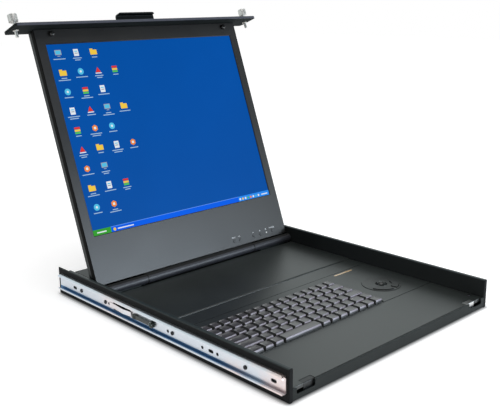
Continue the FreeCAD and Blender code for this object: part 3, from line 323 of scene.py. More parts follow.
def moulded(name, base, roughness, grain=2600.0, depth=0.00002, spread=0.2):
    """Moulded plastic or rubber: spark-eroded texture and a soft change of tone."""
    finish = Finish(name)
    finish.paint(finish.noise(22.0), *around(base, spread))
    finish.set("Roughness", roughness + (finish.noise(140.0) - 0.5) * 0.14)
    finish.bump(finish.cells(grain), depth)
    return finish


STREAKS = {"X": (6, 900, 900), "Z": (900, 900, 6)}
STREAK_DEPTH = 0.000004


def brushed(name, base, roughness, along):
    """Plated or brushed metal with streaks along one axis."""
    finish = Finish(name, metallic=1.0)
    lines = finish.streaks(STREAKS[along])
    shade = finish.mix(finish.span(lines, 0.3, 0.7), lighter(base, 0.88), base)
    cloud = finish.span(finish.noise(26.0, 4.0), 0.4, 0.75)
    finish.paint(cloud * 0.35, shade, lighter(base, 0.86))
    finish.set("Roughness", roughness + (lines - 0.5) * 0.16 + finish.cells(160.0) * 0.06)
    finish.bump(lines, STREAK_DEPTH)
    return finish


def glowing(name, base):
    """A lit patch of the display, a little uneven, under a matt film."""
    finish = Finish(name, 0.42)
    finish.set("Base Color", (0.0, 0.0, 0.0, 1.0))
    tone = finish.mix(finish.noise(9.0, 2.0), *around(base, 0.07))
    tone = finish.mix(finish.noise(1400.0, 1.0) * 0.1, tone, lighter(base, 1.2))
    finish.set("Emission Color", finish.mix(finish.ray("Glossy") * 0.85, tone,
                                            (0.01, 0.011, 0.012)))
    finish.set("Emission Strength", 1.0)
    finish.set("Specular IOR Level", 0.03)
    return finish


# ---------------------------------------------------------------- modelling by operators
FLAT = 0.995


def flat_top(spot, way):
    """Faces that look straight up."""
    return way.z > FLAT


def upright(spot, way):
    """Edges that stand up."""
    return abs(way.z) > 0.5


def lying(spot, way):
    """Edges that lie level."""
    return abs(way.z) < 0.1


def only(piece):
    """Select one object and nothing else."""
    bpy.ops.object.select_all(action="DESELECT")
    piece.select_set(True)
    bpy.context.view_layer.objects.active = piece


def settled(name):
    """The active object, its place put in its mesh, under its own name."""
    bpy.ops.object.transform_apply(location=True, rotation=True, scale=True)
    piece = bpy.context.active_object
    piece.name = name
    piece.data.name = name
    return piece


def start(kind, name, **settings):
    """A primitive to shape."""
    bpy.ops.object.select_all(action="DESELECT")
    getattr(bpy.ops.mesh, f"primitive_{kind}_add")(**settings)
    return settled(name)


def box_from(name, low, high):
    """A cube stretched between two corners."""
    return start("cube", name, size=1, location=[(a + b) / 2 for a, b in zip(low, high)],
                 scale=[b - a for a, b in zip(low, high)])


def edit(piece):
    """Go into edit mode on a piece."""
    only(piece)
    bpy.ops.object.mode_set(mode="EDIT")


def edit_all(piece):
    """Go into edit mode with all of a piece selected."""
    edit(piece)
    bpy.ops.mesh.select_all(action="SELECT")


def leave():
    """Go back to object mode."""
    bpy.ops.object.mode_set(mode="OBJECT")


def pick(kind, test):
    """Select the faces or edges that pass a test of place and direction."""
    bpy.ops.mesh.select_mode(type=kind)
    bpy.ops.mesh.select_all(action="DESELECT")
    data = bpy.context.active_object.data
    mesh = bmesh.from_edit_mesh(data)
    mesh.normal_update()
    if kind == "FACE":
        for face in mesh.faces:
            face.select_set(bool(test(face.calc_center_median(), face.normal)))
    else:
        for edge in mesh.edges:
            first, second = (vertex.co for vertex in edge.verts)
            edge.select_set(bool(test((first + second) / 2, (second - first).normalized())))
    bmesh.update_edit_mesh(data)


def move(offset):
    """Move what is selected."""
    bpy.ops.transform.translate(value=offset)


def inset(thickness, **settings):
    """Inset the selected faces."""
    bpy.ops.mesh.inset(thickness=thickness, **settings)


def extrude(depth):
    """Extrude the selected faces together along Z."""
    bpy.ops.mesh.extrude_region_move(TRANSFORM_OT_translate={"value": (0, 0, depth)})


def round_edges(width, segments=2):
    """Bevel the selected edges."""
    bpy.ops.mesh.bevel(offset=width, segments=segments, affect="EDGES")


def carve(piece, low, high):
    """Cut a box out of a piece."""
    cutter = box_from("cutter", low, high)
    only(piece)
    cut = piece.modifiers.new("cut", "BOOLEAN")
    cut.object = cutter
    cut.operation = "DIFFERENCE"
    bpy.ops.object.modifier_apply(modifier=cut.name)
    bpy.data.objects.remove(cutter, do_unlink=True)


def smooth(piece, angle=35.0):
    """Shade smoothly across shallow edges."""
    only(piece)
    bpy.ops.object.shade_smooth_by_angle(angle=math.radians(angle))


def another(piece, offset):
    """A copy with its own mesh, moved."""
    only(piece)
    bpy.ops.object.duplicate(linked=False)
    move(offset)
    return bpy.context.active_object


def joined(name, made):
    """Several objects made one, its place in its mesh."""
    only(made[0])
    for piece in made:
        piece.select_set(True)
    if len(made) > 1:
        bpy.ops.object.join()
    return settled(name)


def carried(piece, matrix):
    """Carry a piece made at the origin to its place."""
    only(piece)
    piece.matrix_world = matrix
    return settled(piece.name)


def lettering(words, size, place):
    """Flat words as a mesh, lying in the XY plane."""
    bpy.ops.object.select_all(action="DESELECT")
    bpy.ops.object.text_add(location=(0, 0, 0))
    text = bpy.context.active_object
    text.data.body = words
    text.data.size = size
    text.data.align_x = "LEFT"
    text.data.resolution_u = 2
    bpy.ops.object.convert(target="MESH")
    move(place)
    return settled("words")


def dress(piece, finish, body, replaced=None):
    """Finish a piece, and say what it rides on and the node it replaces."""
    piece.data.materials.clear()
    piece.data.materials.append(finish.material)
    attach(piece, body)
    if replaced:
        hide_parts(replaced)


def islands(node):
    """The low and high corner of each separate solid in a node."""
    mesh = NODES[node].data
    parent = {}

    def root(key):
        while parent[key] != key:
            parent[key] = parent[parent[key]]
            key = parent[key]
        return key

    keys = [tuple(round(part * 1e6) for part in vertex.co) for vertex in mesh.vertices]
    for key in keys:
        parent.setdefault(key, key)
    for face in mesh.polygons:
        first = root(keys[face.vertices[0]])
        for index in face.vertices[1:]:
            parent[root(keys[index])] = first
    groups = {}
    for key in parent:
        groups.setdefault(root(key), []).append([part / 1e6 for part in key])
    return sorted(corners(spots) for spots in groups.values())


# ---------------------------------------------------------------- finishes of the CAD nodes
# Where one finish passes into another, in metres: from and to, or one place. The panel's
# rim is measured along the screen's normal, and the pin's rim from the pin's axis.
SLIDE_WEB = (0.2173, 0.2183)
SLIDE_RACE = (0.0154, 0.0164)
# Along the slide: where the painted shade over the groove grows from faint to full.
SLIDE_RACE_SHADE = (-0.235, -0.12)
SLIDE_WARM = ((-0.215, 0.04, 0.085), (0.085, 0.02, 0.06))    # middle, from and to
LEVER_PIN = Vector((0.005, 0.0218))
PIN_RIM = (0.0028, 0.0034)
PANEL_RIM = (0.0226, 0.0236)
BEZEL_SIDE = 0.2036
WALL_TOP = (0.0418, 0.0432)
WALL_SKIN = (0.2121, 0.2127)
WALL_END = (-0.2517, -0.2513)
TRAY_FACE = (-0.2518, -0.2514)
SEAM_FRONT = (-0.2507, -0.2502)
SEAM_BACK = (-0.2480, -0.2476)
SEAM_FOOT = (0.0125, 0.0135)
HINGE_LEAF = (0.0288, 0.0304)
HINGE_SPLIT = 0.1157
KEY_TOP = (0.0186, 0.0204)
KEY_RIM = (0.0174, 0.0190)


def slide_finish(zinc):
    """Bright zinc with handling marks, and a painted blue shade and reflection over the running
    groove.
    """
    finish = Finish("slide_zinc", metallic=1.0)
    y, z = finish.axis("Y"), finish.axis("Z")
    lines = finish.streaks((900, 5, 900))
    cloud = finish.noise(18.0, 4.0)
    smear = finish.streaks((60, 9, 60), 3.0)
    web = finish.fade(finish.axis("X").size(), *SLIDE_WEB)
    # Painted shade and reflection: dark blue over the web's foot above the lower lip.
    race_shade = finish.fade(z, *SLIDE_RACE) * web * finish.span(y, *SLIDE_RACE_SHADE, 0.15, 1.0)
    warm = finish.near(y, *SLIDE_WARM[0]) * 0.75 + finish.near(y, *SLIDE_WARM[1]) * 0.35
    shade = finish.mix(finish.span(lines, 0.3, 0.7), lighter(zinc, 0.9), zinc)
    shade = finish.mix(finish.span(smear, 0.45, 0.8) * 0.25, shade, (0.45, 0.55, 0.72))
    shade = finish.mix(warm * finish.span(cloud, 0.3, 0.6), shade, (0.86, 0.66, 0.6))
    # Painted shade and reflection: the groove turned dark blue.
    shade = finish.mix(race_shade * 0.92, shade, (0.04, 0.155, 0.33))
    pin = finish.near(y, LEVER_PIN.x, *PIN_RIM) * finish.near(z, LEVER_PIN.y, *PIN_RIM)
    finish.paint(pin, shade, (0.03, 0.045, 0.04))
    finish.set("Roughness", 0.22 + lines * 0.12 + cloud * 0.1 +
               finish.cells(210.0) * 0.05 + race_shade * 0.1)
    finish.bump(lines, STREAK_DEPTH)
    return finish


def panel_finish(powder):
    """The rack panel's coat, with a painted bluish grey highlight along its near edge."""
    finish = painted("panel_paint", lighter(powder, 0.8), 0.36, 1000.0, shine=0.16)
    proud = finish.along("DOT_PRODUCT", tuple(FACE_NORMAL)) - HINGE.dot(FACE_NORMAL)
    edge = finish.span(proud, *PANEL_RIM)
    # Painted highlight: a lighter bluish grey, glossier, along the panel's near edge.
    edge_highlight = finish.mix(finish.noise(160.0), (0.05, 0.052, 0.066), (0.075, 0.08, 0.1))
    finish.paint(edge, finish.coat(), edge_highlight)
    finish.set("Roughness", 0.86 - edge * 0.5 + finish.noise(90.0) * 0.06)
    return finish


def bezel_finish(bezel):
    """Satin paint on the bezel's face, and painted shade down its sides: dull and black."""
    finish = painted("bezel_paint", bezel, 0.36, 1500.0, 0.000012)
    # Painted shade: the bezel's sides near black and dull.
    black = finish.mix(finish.noise(400.0), (0.003, 0.003, 0.003), (0.006, 0.006, 0.006))
    dull = finish.node("ShaderNodeBsdfPrincipled", None,
                       {"Base Color": black, "Roughness": 0.8, "Specular IOR Level": 0.1})
    finish.show(finish.cover(finish.axis("X").size() > BEZEL_SIDE, finish.shader.outputs[0],
                             dull.outputs[0]))
    return finish


def wall_finish():
    """Side channels: a painted highlight on the folded top, painted shade on the outer skins and
    ends.
    """
    finish = painted("wall_paint", (0.0125, 0.0145, 0.0145), 0.4, 1100.0, shine=0.26)
    top = finish.span(finish.axis("Z"), *WALL_TOP)
    outer = finish.span(finish.axis("X").size(), *WALL_SKIN)
    # Painted shade: the outer skins above the slides and the front ends dark and dull.
    dull = outer * (1 - top) + finish.fade(finish.axis("Y"), *WALL_END)
    # Painted highlight: the folded top lighter.
    coat = finish.mix(top, finish.coat(), (0.023, 0.031, 0.032))
    finish.paint(dull, coat, (0.0012, 0.0016, 0.0022))
    finish.set("Roughness", 0.4 + dull * 0.4 + (finish.noise(70.0) - 0.5) * 0.06)
    return finish


def tray_finish(powder):
    """Powder coat, painted shadow in the seam under the deck's front, painted shade down the
    front face.
    """
    finish = painted("tray_paint", powder, 0.38, 1100.0)
    y = finish.axis("Y")
    # Painted shade: the front face darker and dull.
    face = finish.fade(y, *TRAY_FACE)
    # Painted shadow: near black in the gap under the deck's front edge.
    seam = finish.span(y, *SEAM_FRONT) * finish.fade(y, *SEAM_BACK) * \
        finish.span(finish.axis("Z"), *SEAM_FOOT)
    coat = finish.mix(seam, finish.coat(), (0.001, 0.001, 0.001))
    finish.paint(face, coat, (0.0025, 0.0052, 0.0042))
    finish.set("Roughness", 0.38 + face * 0.42 + seam * 0.5 +
               (finish.noise(60.0) - 0.5) * 0.06)
    return finish


def hinge_finish():
    """Satin barrels, with painted shade where they part and up the leaf that tucks behind the
    bezel.
    """
    finish = painted("hinge_paint", (0.031, 0.033, 0.041), 0.4, 1200.0)
    leaf = finish.span(finish.axis("Z"), *HINGE_LEAF)
    split = finish.near(finish.axis("X").size(), HINGE_SPLIT, 0.0008, 0.0012)
    # Painted shade: near black up the leaf and where the barrels part.
    finish.paint(leaf + split, finish.coat(), (0.003, 0.003, 0.003))
    finish.set("Roughness", 0.38 + leaf * 0.5 + finish.noise(60.0) * 0.06)
    return finish


def keycap_finish(base):
    """Keycaps: fine grained glossy tops over skirts darkened as painted shade."""
    finish = Finish("keycap")
    top = finish.span(finish.axis("Z"), *KEY_TOP)
    cloud = finish.noise(30.0)
    # Painted shade: the skirts near black under the tops.
    finish.paint(top, (0.005, 0.005, 0.005), finish.mix(cloud, *around(base, 0.16)))
    finish.set("Roughness", 0.5 - top * 0.2 + (cloud - 0.5) * 0.1)
    finish.set("Specular IOR Level", 1.0)
    finish.bump(finish.cells(3200.0), 0.00001)
    return finish


def keycap_front_finish():
    """The caps' fronts: a painted highlight, a pale upper rim that fades into the dark skirt."""
    finish = Finish("keycap_front")
    rim = finish.span(finish.axis("Z"), *KEY_RIM)
    cloud = finish.noise(40.0)
    # Painted highlight: pale lavender on the upper front of each cap.
    pale = finish.mix(cloud, (0.21, 0.188, 0.225), (0.3, 0.27, 0.32))
    finish.paint(rim, (0.005, 0.005, 0.005), pale)
    finish.set("Roughness", 0.5 - rim * 0.14 + (cloud - 0.5) * 0.1)
    return finish


def strike_finish():
    """Strike plates: bright bare steel on the right, and on the left painted dark as painted
    shade.
    """
    finish = Finish("bright_steel")
    bare = finish.axis("X") > 0.0
    lines = finish.streaks(STREAKS["X"])
    steel = finish.mix(lines, (0.5, 0.5, 0.5), (0.68, 0.68, 0.67))
    # Painted shade: the left plate near black; the right one bare steel.
    finish.paint(bare, (0.01, 0.011, 0.011), steel)
    finish.set("Metallic", bare)
    finish.set("Roughness", 0.38 - bare * 0.1 + lines * 0.08)
    finish.bump(lines, STREAK_DEPTH)
    return finish


def board_finish():
    """Green solder mask over copper tracks, with tinned pads."""
    finish = Finish("circuit_board", 0.33)
    x, y = finish.axis("X"), finish.axis("Y")
    tracks = finish.span(((x * 420.0 + (y * 260.0).wave() * 0.7).repeat() - 0.5).size(),
                         0.36, 0.44)
    across = finish.span(((y * 380.0).repeat() - 0.5).size(), 0.38, 0.45)
    pads = finish.fade(finish.cells(240.0), 0.1, 0.14)
    net = finish.mix(tracks * 0.6, (0.006, 0.045, 0.022), (0.014, 0.1, 0.05))
    net = finish.mix(across * 0.3, net, (0.014, 0.1, 0.05))
    finish.paint(pads, net, (0.62, 0.6, 0.55))
    finish.set("Metallic", pads * 0.9)
    finish.bump(tracks, 0.00003)
    return finish


def clouded(name, scale, tones, roughness, spread, detail=3.0, depth=0.0):
    """A glassy skin whose tone and gloss drift with one fine cloud."""
    finish = Finish(name)
    cloud = finish.noise(scale, detail)
    finish.paint(cloud, *tones)
    finish.set("Roughness", roughness + cloud * spread)
    if depth:
        finish.bump(cloud, depth, 0.4)
    return finish


def lens_finish():
    """Amber lens of the lock lights."""
    finish = clouded("lens_amber", 300.0, ((0.4, 0.26, 0.12), (0.62, 0.46, 0.28)), 0.14, 0.14)
    finish.set("Coat Weight", 0.5)
    return finish


def node_finishes(settings):
    """A finish for each of the record's material slots, by its name."""
    powder = settings.powder
    made = [
        tray_finish(powder),
        panel_finish(powder),
        bezel_finish(settings.bezel),
        slide_finish(settings.zinc),
        keycap_finish(settings.keycap),
        wall_finish(),
        hinge_finish(),
        strike_finish(),
        board_finish(),
        lens_finish(),
        clouded("led_clear", 700.0, ((0.36, 0.42, 0.38), (0.6, 0.66, 0.6)), 0.08, 0.12),
        clouded("lcd_glass", 1600.0, ((0.005, 0.006, 0.008), (0.008, 0.009, 0.012)),
                0.26, 0.1, 1.0, 0.000002),
        painted("deck_paint", settings.deck, 0.4, 1300.0, 0.000016, shine=0.82),
        painted("cover_paint", powder, 0.44, 800.0, shine=0.3),
        painted("handle_black", lighter(powder, 0.5), 0.4, 1200.0, shine=0.12),
        brushed("zinc_plate", (0.66, 0.68, 0.7), 0.34, "X"),
        brushed("pin_steel", (0.6, 0.6, 0.6), 0.22, "X"),
        brushed("spring_steel", (0.52, 0.5, 0.47), 0.3, "Z"),
        brushed("nickel", settings.silver, 0.38, "Z"),
        brushed("black_screw", (0.05, 0.05, 0.055), 0.36, "X"),
        moulded("membrane", (0.05, 0.052, 0.05), 0.6),
        moulded("guide_plastic", (0.01, 0.01, 0.01), 0.6),
        moulded("pointer_plastic", (0.016, 0.018, 0.017), 0.36),
        moulded("ball_resin", (0.018, 0.02, 0.019), 0.14, 900.0, 0.000001),
        moulded("pointer_button", (0.011, 0.012, 0.012), 0.4),
        moulded("lever_plastic", (0.006, 0.014, 0.010), 0.26),
        moulded("bumper_rubber", (0.012, 0.012, 0.012), 0.12, 1800.0, 0.000003, 0.3),
        moulded("control_plastic", (0.014, 0.014, 0.015), 0.42),
        moulded("inlet_plastic", (0.012, 0.012, 0.012), 0.5),
    ]
    return {finish.name: finish for finish in made}


FINISHES = {}
# Nodes that are painted otherwise than their slot says.
PAINTED_NODES = {"hinge_bracket_left": "tray_paint", "hinge_bracket_right": "tray_paint",
                 "side_channel_left": "wall_paint", "side_channel_right": "wall_paint"}


class DRAWER_OT_finishes(bpy.types.Operator):
    """Give every CAD node its procedural finish"""

    bl_idname = "console_drawer.finishes"
    bl_label = "Finishes"

    def execute(self, context):
        FINISHES.update(node_finishes(context.scene.drawer_finish))
        for name, node in NODES.items():
            for place in node.material_slots:
                wanted = place.material.name.split(".")[0]
                if wanted not in FINISHES:
                    raise ValueError(f"{name} has no finish for {wanted}")
                place.material = FINISHES[PAINTED_NODES.get(name, wanted)].material
        return {"FINISHED"}


# ---------------------------------------------------------------- keycaps
LEGENDS = {
    "key_row_bottom": ["Ctrl", "Fn", "Alt", "Alt", "Fn", "End", "Ctrl", "<", "v", ">"],
    "key_row_shift": ["Shift", *"ZXCVBNM,./", "Shift", "^"],
    "key_row_caps": ["Caps", *"ASDFGHJKL;'", "Enter"],
    "key_row_tab": ["Tab", *"QWERTYUIOP[]", "\\"],
    "key_row_number": ["`", *"1234567890-=", "Back"],
    "key_row_function": ["Esc", *[f"F{number}" for number in range(1, 13)],
                         "Prt", "Ins", "Del"],
}
LETTER, WORD = 0.0036, 0.0028    # heights of the legends
LEGEND_LEFT, LEGEND_FOOT = 0.0032, 0.0068    # from a cap's left and far edge
LEGEND_SINK = 0.35               # how far into the hollow, as a share of its depth
STEM = 0.0080                    # foot of a cap that stays hidden under the guide plate
TAPER_X, TAPER_Y = 0.0042, 0.0044    # how much smaller a cap's top is than its foot
LEAN = 0.0007                    # how far the top leans towards the user
RIM = 0.0007                     # flat rim around the hollow


def keycap(name, low, high, settings):
    """One moulded cap: a tapered block with rounded corners and a dished top."""
    skirt = low[2] + STEM
    cap = box_from(name, (low[0], low[1], skirt), high)
    width, deep = high[0] - low[0], high[1] - low[1]
    x, y = (low[0] + high[0]) / 2, (low[1] + high[1]) / 2
    edit(cap)
    pick("FACE", flat_top)
    bpy.ops.transform.resize(value=((width - TAPER_X) / width, (deep - TAPER_Y) / deep, 1),
                             center_override=(x, y, high[2]))
    move((0, -LEAN, 0))
    pick("EDGE", upright)
    round_edges(settings.edge, 3)
    pick("FACE", flat_top)
    inset(RIM)
    for shrink, drop in ((0.78, 0.6), (0.6, 0.4)):
        inset(0.00005)
        bpy.ops.transform.resize(value=(shrink + 0.1, shrink, 1),
                                 center_override=(x, y - LEAN, high[2]))
        move((0, 0, -settings.dish * drop))
    half_x, half_y = (width - TAPER_X) / 2, (deep - TAPER_Y) / 2
    pick("EDGE", lambda spot, way: spot.z > high[2] - 0.00001 and
         max(abs(spot.x - x) / half_x, abs(spot.y + LEAN - y) / half_y) > 0.93)
    round_edges(0.00035)
    leave()
    for finish in ("keycap", "keycap_front", "keycap_side"):
        cap.data.materials.append(FINISHES[finish].material)
    edit(cap)
    # Slot 1 carries the fronts' painted highlight, slot 2 the painted shade on sides and backs.
    for slot, faces in (
            (1, lambda spot, way: way.y < -0.55 and spot.z > skirt + 0.0012),
            (2, lambda spot, way: way.x * way.x + max(way.y, 0) ** 2 > 0.3)):
        pick("FACE", faces)
        cap.active_material_index = slot
        bpy.ops.object.material_slot_assign()
    leave()
    return cap


def keycaps(name, settings):
    """All the caps and legends of one row."""
    caps, legends, patterns = [], [], {}
    marks = LEGENDS.get(name, [])
    for index, (low, high) in enumerate(islands(name)):
        width = round(high[0] - low[0], 5)
        if width in patterns:
            pattern, corner = patterns[width]
            caps.append(another(pattern, Vector(low) - corner))
        else:
            caps.append(keycap(name, low, high, settings))
            patterns[width] = (caps[-1], Vector(low))
        if index < len(marks):
            size = LETTER if len(marks[index]) < 3 else WORD
            place = (low[0] + LEGEND_LEFT, high[1] - LEGEND_FOOT,
                     high[2] - settings.dish * LEGEND_SINK)
            legends.append(lettering(marks[index], size, place))
    row = joined(name + "_caps", caps)
    smooth(row)
    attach(row, name)
    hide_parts(name)
    if legends:
        dress(joined(name + "_legends", legends), FINISHES["legend"], name)


class DRAWER_OT_keycaps(bpy.types.Operator):
    """Moulded keycaps with pale legends, one piece for each row"""

    bl_idname = "console_drawer.keycaps"
    bl_label = "Keycaps"

    def execute(self, context):
        FINISHES["legend"] = moulded("legend_print", (0.66, 0.66, 0.68), 0.5)
        FINISHES["keycap_front"] = keycap_front_finish()
        # Painted shade: the caps' sides and backs near black.
        FINISHES["keycap_side"] = moulded("keycap_side", (0.006, 0.006, 0.006), 0.6)
        for name in [*LEGENDS, "space_bar"]:
            keycaps(name, context.scene.drawer_keys)
        return {"FINISHED"}


# ---------------------------------------------------------------- pointer
class DRAWER_OT_trackball(bpy.types.Operator):
    """The polished ball in its cup"""

    bl_idname = "console_drawer.trackball"
    bl_label = "Trackball"

    def execute(self, context):
        low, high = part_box("trackball")
        centre = (Vector(low) + Vector(high)) / 2
        radius = (high[0] - low[0]) / 2
        ball = start("cube", "trackball_ball", size=radius * 1.1, location=centre)
        edit(ball)
        bpy.ops.mesh.subdivide(number_cuts=15)
        bpy.ops.transform.tosphere(value=1.0)
        leave()
        reach = max((vertex.co - centre).length for vertex in ball.data.vertices)
        edit_all(ball)
        bpy.ops.transform.resize(value=(radius / reach,) * 3)
        leave()
        low, high = corners([vertex.co for vertex in ball.data.vertices])
        edit_all(ball)
        move(centre - (Vector(low) + Vector(high)) / 2)
        leave()
        smooth(ball, 60)
        finish = Finish("ball_resin_polished")
        fleck = finish.fade(finish.cells(520.0), 0.05, 0.2)
        finish.paint(fleck, (0.016, 0.018, 0.017), (0.09, 0.095, 0.09))
        finish.set("Roughness", 0.08 + finish.noise(90.0) * 0.1)
        dress(ball, finish, "trackball", "trackball")
        return {"FINISHED"}


# ---------------------------------------------------------------- picture
# Each motif is a stack of boxes (left, foot, right, top) and rounds (x, y, radius and,
# where it isn't round, its number of sides), in halves of the motif's width.
MOTIFS = {
    "tray": [("box", (-1, -0.8, 1, 0.5), "gold"), ("box", (-1, 0.5, -0.1, 0.8), "gold")],
    "disc": [("round", (0, 0, 0.85), "cyan"), ("round", (0, 0, 0.3), "pale")],
    "sheet": [("box", (-0.7, -0.9, 0.7, 0.9), "pale"),
              ("box", (-0.45, 0.2, 0.45, 0.45), "cyan"),
              ("box", (-0.45, -0.3, 0.45, -0.05), "grey")],
    "wedge": [("round", (0, -0.1, 0.9, 3), "red"), ("box", (-0.9, -0.9, 0.9, -0.65), "pale")],
    "stack": [("box", (-0.8, -0.9, 0.8, -0.4), "green"),
              ("box", (-0.8, -0.3, 0.8, 0.2), "gold"), ("box", (-0.8, 0.3, 0.8, 0.8), "red")],
    "monitor": [("box", (-0.9, -0.4, 0.9, 0.9), "grey"),
                ("box", (-0.7, -0.2, 0.7, 0.7), "cyan"),
                ("box", (-0.4, -0.8, 0.4, -0.6), "grey")],
    "flag": [("round", (0, 0, 0.85, 6), "orange"), ("box", (-0.3, -0.3, 0.3, 0.3), "pale")],
}
LAYOUT = ["monitor sheet tray", "tray disc wedge stack", "disc stack sheet",
          "sheet wedge monitor tray", "stack flag disc", "wedge tray sheet flag",
          "flag monitor", "tray sheet stack", "disc flag"]
MOTIF_HALF = 0.0062
MOTIF_FIRST = (0.018, 0.0155)    # from the picture's left and top
MOTIF_PITCH = (0.0315, 0.0305)
LABEL_HALF, LABEL_STEP = 0.0105, 0.0028    # longest label, and how much the others lose
LABEL_DROP, LABEL_PITCH, LABEL_HIGH = 0.0034, 0.0031, 0.0013
PICTURE_RIM = 0.0094             # from the glass's ends to the lit area
PICTURE_FOOT, PICTURE_TOP = 0.0835, 0.3865
LIFT = 0.00001                   # from the surface below to the first layer
GROUND = 0.00003                 # thickness of the picture's ground
PLATE = 0.00004                  # thickness of a plate of the picture
LAYER = 0.00005                  # step from one layer of plates to the next
BAR = 0.0098                     # height of the task bar
# Plates on the task bar: left and right as shares of its width, foot and top, layer, tone.
BAR_PLATES = [
    (0, 1, 0, BAR, 0, "bar"), (0, 1, BAR - 0.0008, BAR, 1, "edge"),
    (0, 0.088, 0, BAR, 2, "launch"), (0.8, 1, 0, BAR, 2, "tail"),
    (0.02, 0.065, 0.0040, 0.0058, 3, "pale"), (0.12, 0.2, 0.0038, 0.0055, 2, "pale"),
    (0.948, 0.988, 0.0038, 0.0057, 3, "pale"),
]
SPOTS = ["pale", "gold", "pale", "green", "orange", "pale", "cyan", "pale"]
SPOT_PITCH = 0.0064
TONES = {
    "gold": (0.85, 0.56, 0.06), "cyan": (0.08, 0.5, 0.75), "pale": (0.75, 0.8, 0.85),
    "grey": (0.3, 0.36, 0.42), "red": (0.7, 0.04, 0.03), "green": (0.08, 0.5, 0.1),
    "orange": (0.85, 0.25, 0.03), "edge": (0.12, 0.3, 0.9), "tail": (0.02, 0.25, 0.85),
    "label": (0.35, 0.52, 0.7),
}


def flat_box(left, foot, right, top, level, thick=PLATE):
    """A thin plate with softened corners, standing on a level."""
    plate = box_from("plate", (left, foot, level), (right, top, level + thick))
    edit(plate)
    pick("EDGE", upright)
    round_edges(min(0.0003, (top - foot) * 0.3))
    leave()
    return plate


def flat_round(x, y, radius, level, sides=20, thick=PLATE):
    """A thin round or many-sided plate with a ring inset in its top."""
    plate = start("cylinder", "plate", vertices=sides, radius=radius, depth=thick,
                  location=(x, y, level + thick / 2))
    edit(plate)
    pick("FACE", flat_top)
    inset(radius * 0.06)
    leave()
    return plate


def screen_piece(name, parts, finish, replaced=None, angle=None):
    """Parts made in the screen's frame, as one piece that rides with the screen."""
    piece = carried(joined(name, parts), SCREEN)
    if angle:
        smooth(piece, angle)
    dress(piece, finish, "screen", replaced)


class DRAWER_OT_picture(bpy.types.Operator):
    """The lit display: a plain desktop of made-up shapes over a task bar"""

    bl_idname = "console_drawer.picture"
    bl_label = "Picture"

    def execute(self, context):
        settings = context.scene.drawer_finish
        low, high = screen_box("lcd_panel")
        left, right = low.x + PICTURE_RIM, high.x - PICTURE_RIM
        wide, foot, top = right - left, PICTURE_FOOT, PICTURE_TOP
        level = high.z + LAYER
        ground = flat_box(left, foot, right, top, high.z + LIFT, GROUND)
        screen_piece("picture_ground", [ground], glowing("lit_blue", settings.desktop))
        tones = {**TONES, "bar": settings.task_bar, "launch": settings.launcher}
        made = {tone: [] for tone in tones}
        for start_x, end_x, low_y, high_y, layer, tone in BAR_PLATES:
            made[tone].append(flat_box(left + wide * start_x, foot + low_y,
                                       left + wide * end_x, foot + high_y,
                                       level + layer * LAYER))
        made["gold"].append(flat_round(left + wide * 0.105, foot + 0.0047, 0.0024,
                                       level + 2 * LAYER))
        for index, tone in enumerate(SPOTS):
            made[tone].append(flat_round(right - wide * 0.19 + index * SPOT_PITCH,
                                         foot + 0.0048, 0.0021, level + 3 * LAYER, 8))
        for row, motifs in enumerate(LAYOUT):
            for column, motif in enumerate(motifs.split()):
                self.draw_motif(made, motif, row, column,
                                left + MOTIF_FIRST[0] + column * MOTIF_PITCH[0],
                                top - MOTIF_FIRST[1] - row * MOTIF_PITCH[1], level)
        for tone, parts in made.items():
            screen_piece("picture_" + tone, parts, glowing("lit_" + tone, tones[tone]))
        return {"FINISHED"}

    def draw_motif(self, made, motif, row, column, x, y, level):
        """One motif with one or two lines of label under it."""
        for layer, (kind, sizes, tone) in enumerate(MOTIFS[motif]):
            z = level + layer * LAYER
            across = [size * MOTIF_HALF for size in sizes]
            if kind == "box":
                part = flat_box(x + across[0], y + across[1], x + across[2], y + across[3], z)
            else:
                part = flat_round(x + across[0], y + across[1], across[2], z, *sizes[3:])
            made[tone].append(part)
        for line in range(1 + (row + column) % 2):
            reach = LABEL_HALF - LABEL_STEP * ((row * 2 + column + line) % 3)
            foot = y - MOTIF_HALF - LABEL_DROP - line * LABEL_PITCH
            made["label"].append(flat_box(x - reach, foot, x + reach, foot + LABEL_HIGH,
                                          level))


# ---------------------------------------------------------------- printed marks
# The words with their left end and their size.
WORDS = [("MENU", 0.0740, 0.00336), ("SEL", 0.0890, 0.00336), ("POWER", 0.1648, 0.003808)]
WORD_FOOT = 0.0243
# Bars of the minus and the plus sign: left, foot, right and top.
SIGNS = [(0.1236, 0.0250, 0.1264, 0.0257), (0.1401, 0.0250, 0.1429, 0.0257),
         (0.14115, 0.0240, 0.14185, 0.0267)]
SUN_X, SUN_Y = 0.1565, 0.0254    # middle of the small sun
RAYS, RAY_REACH = 8, 0.0015
PRINT = 0.00002                  # thickness of the printed marks


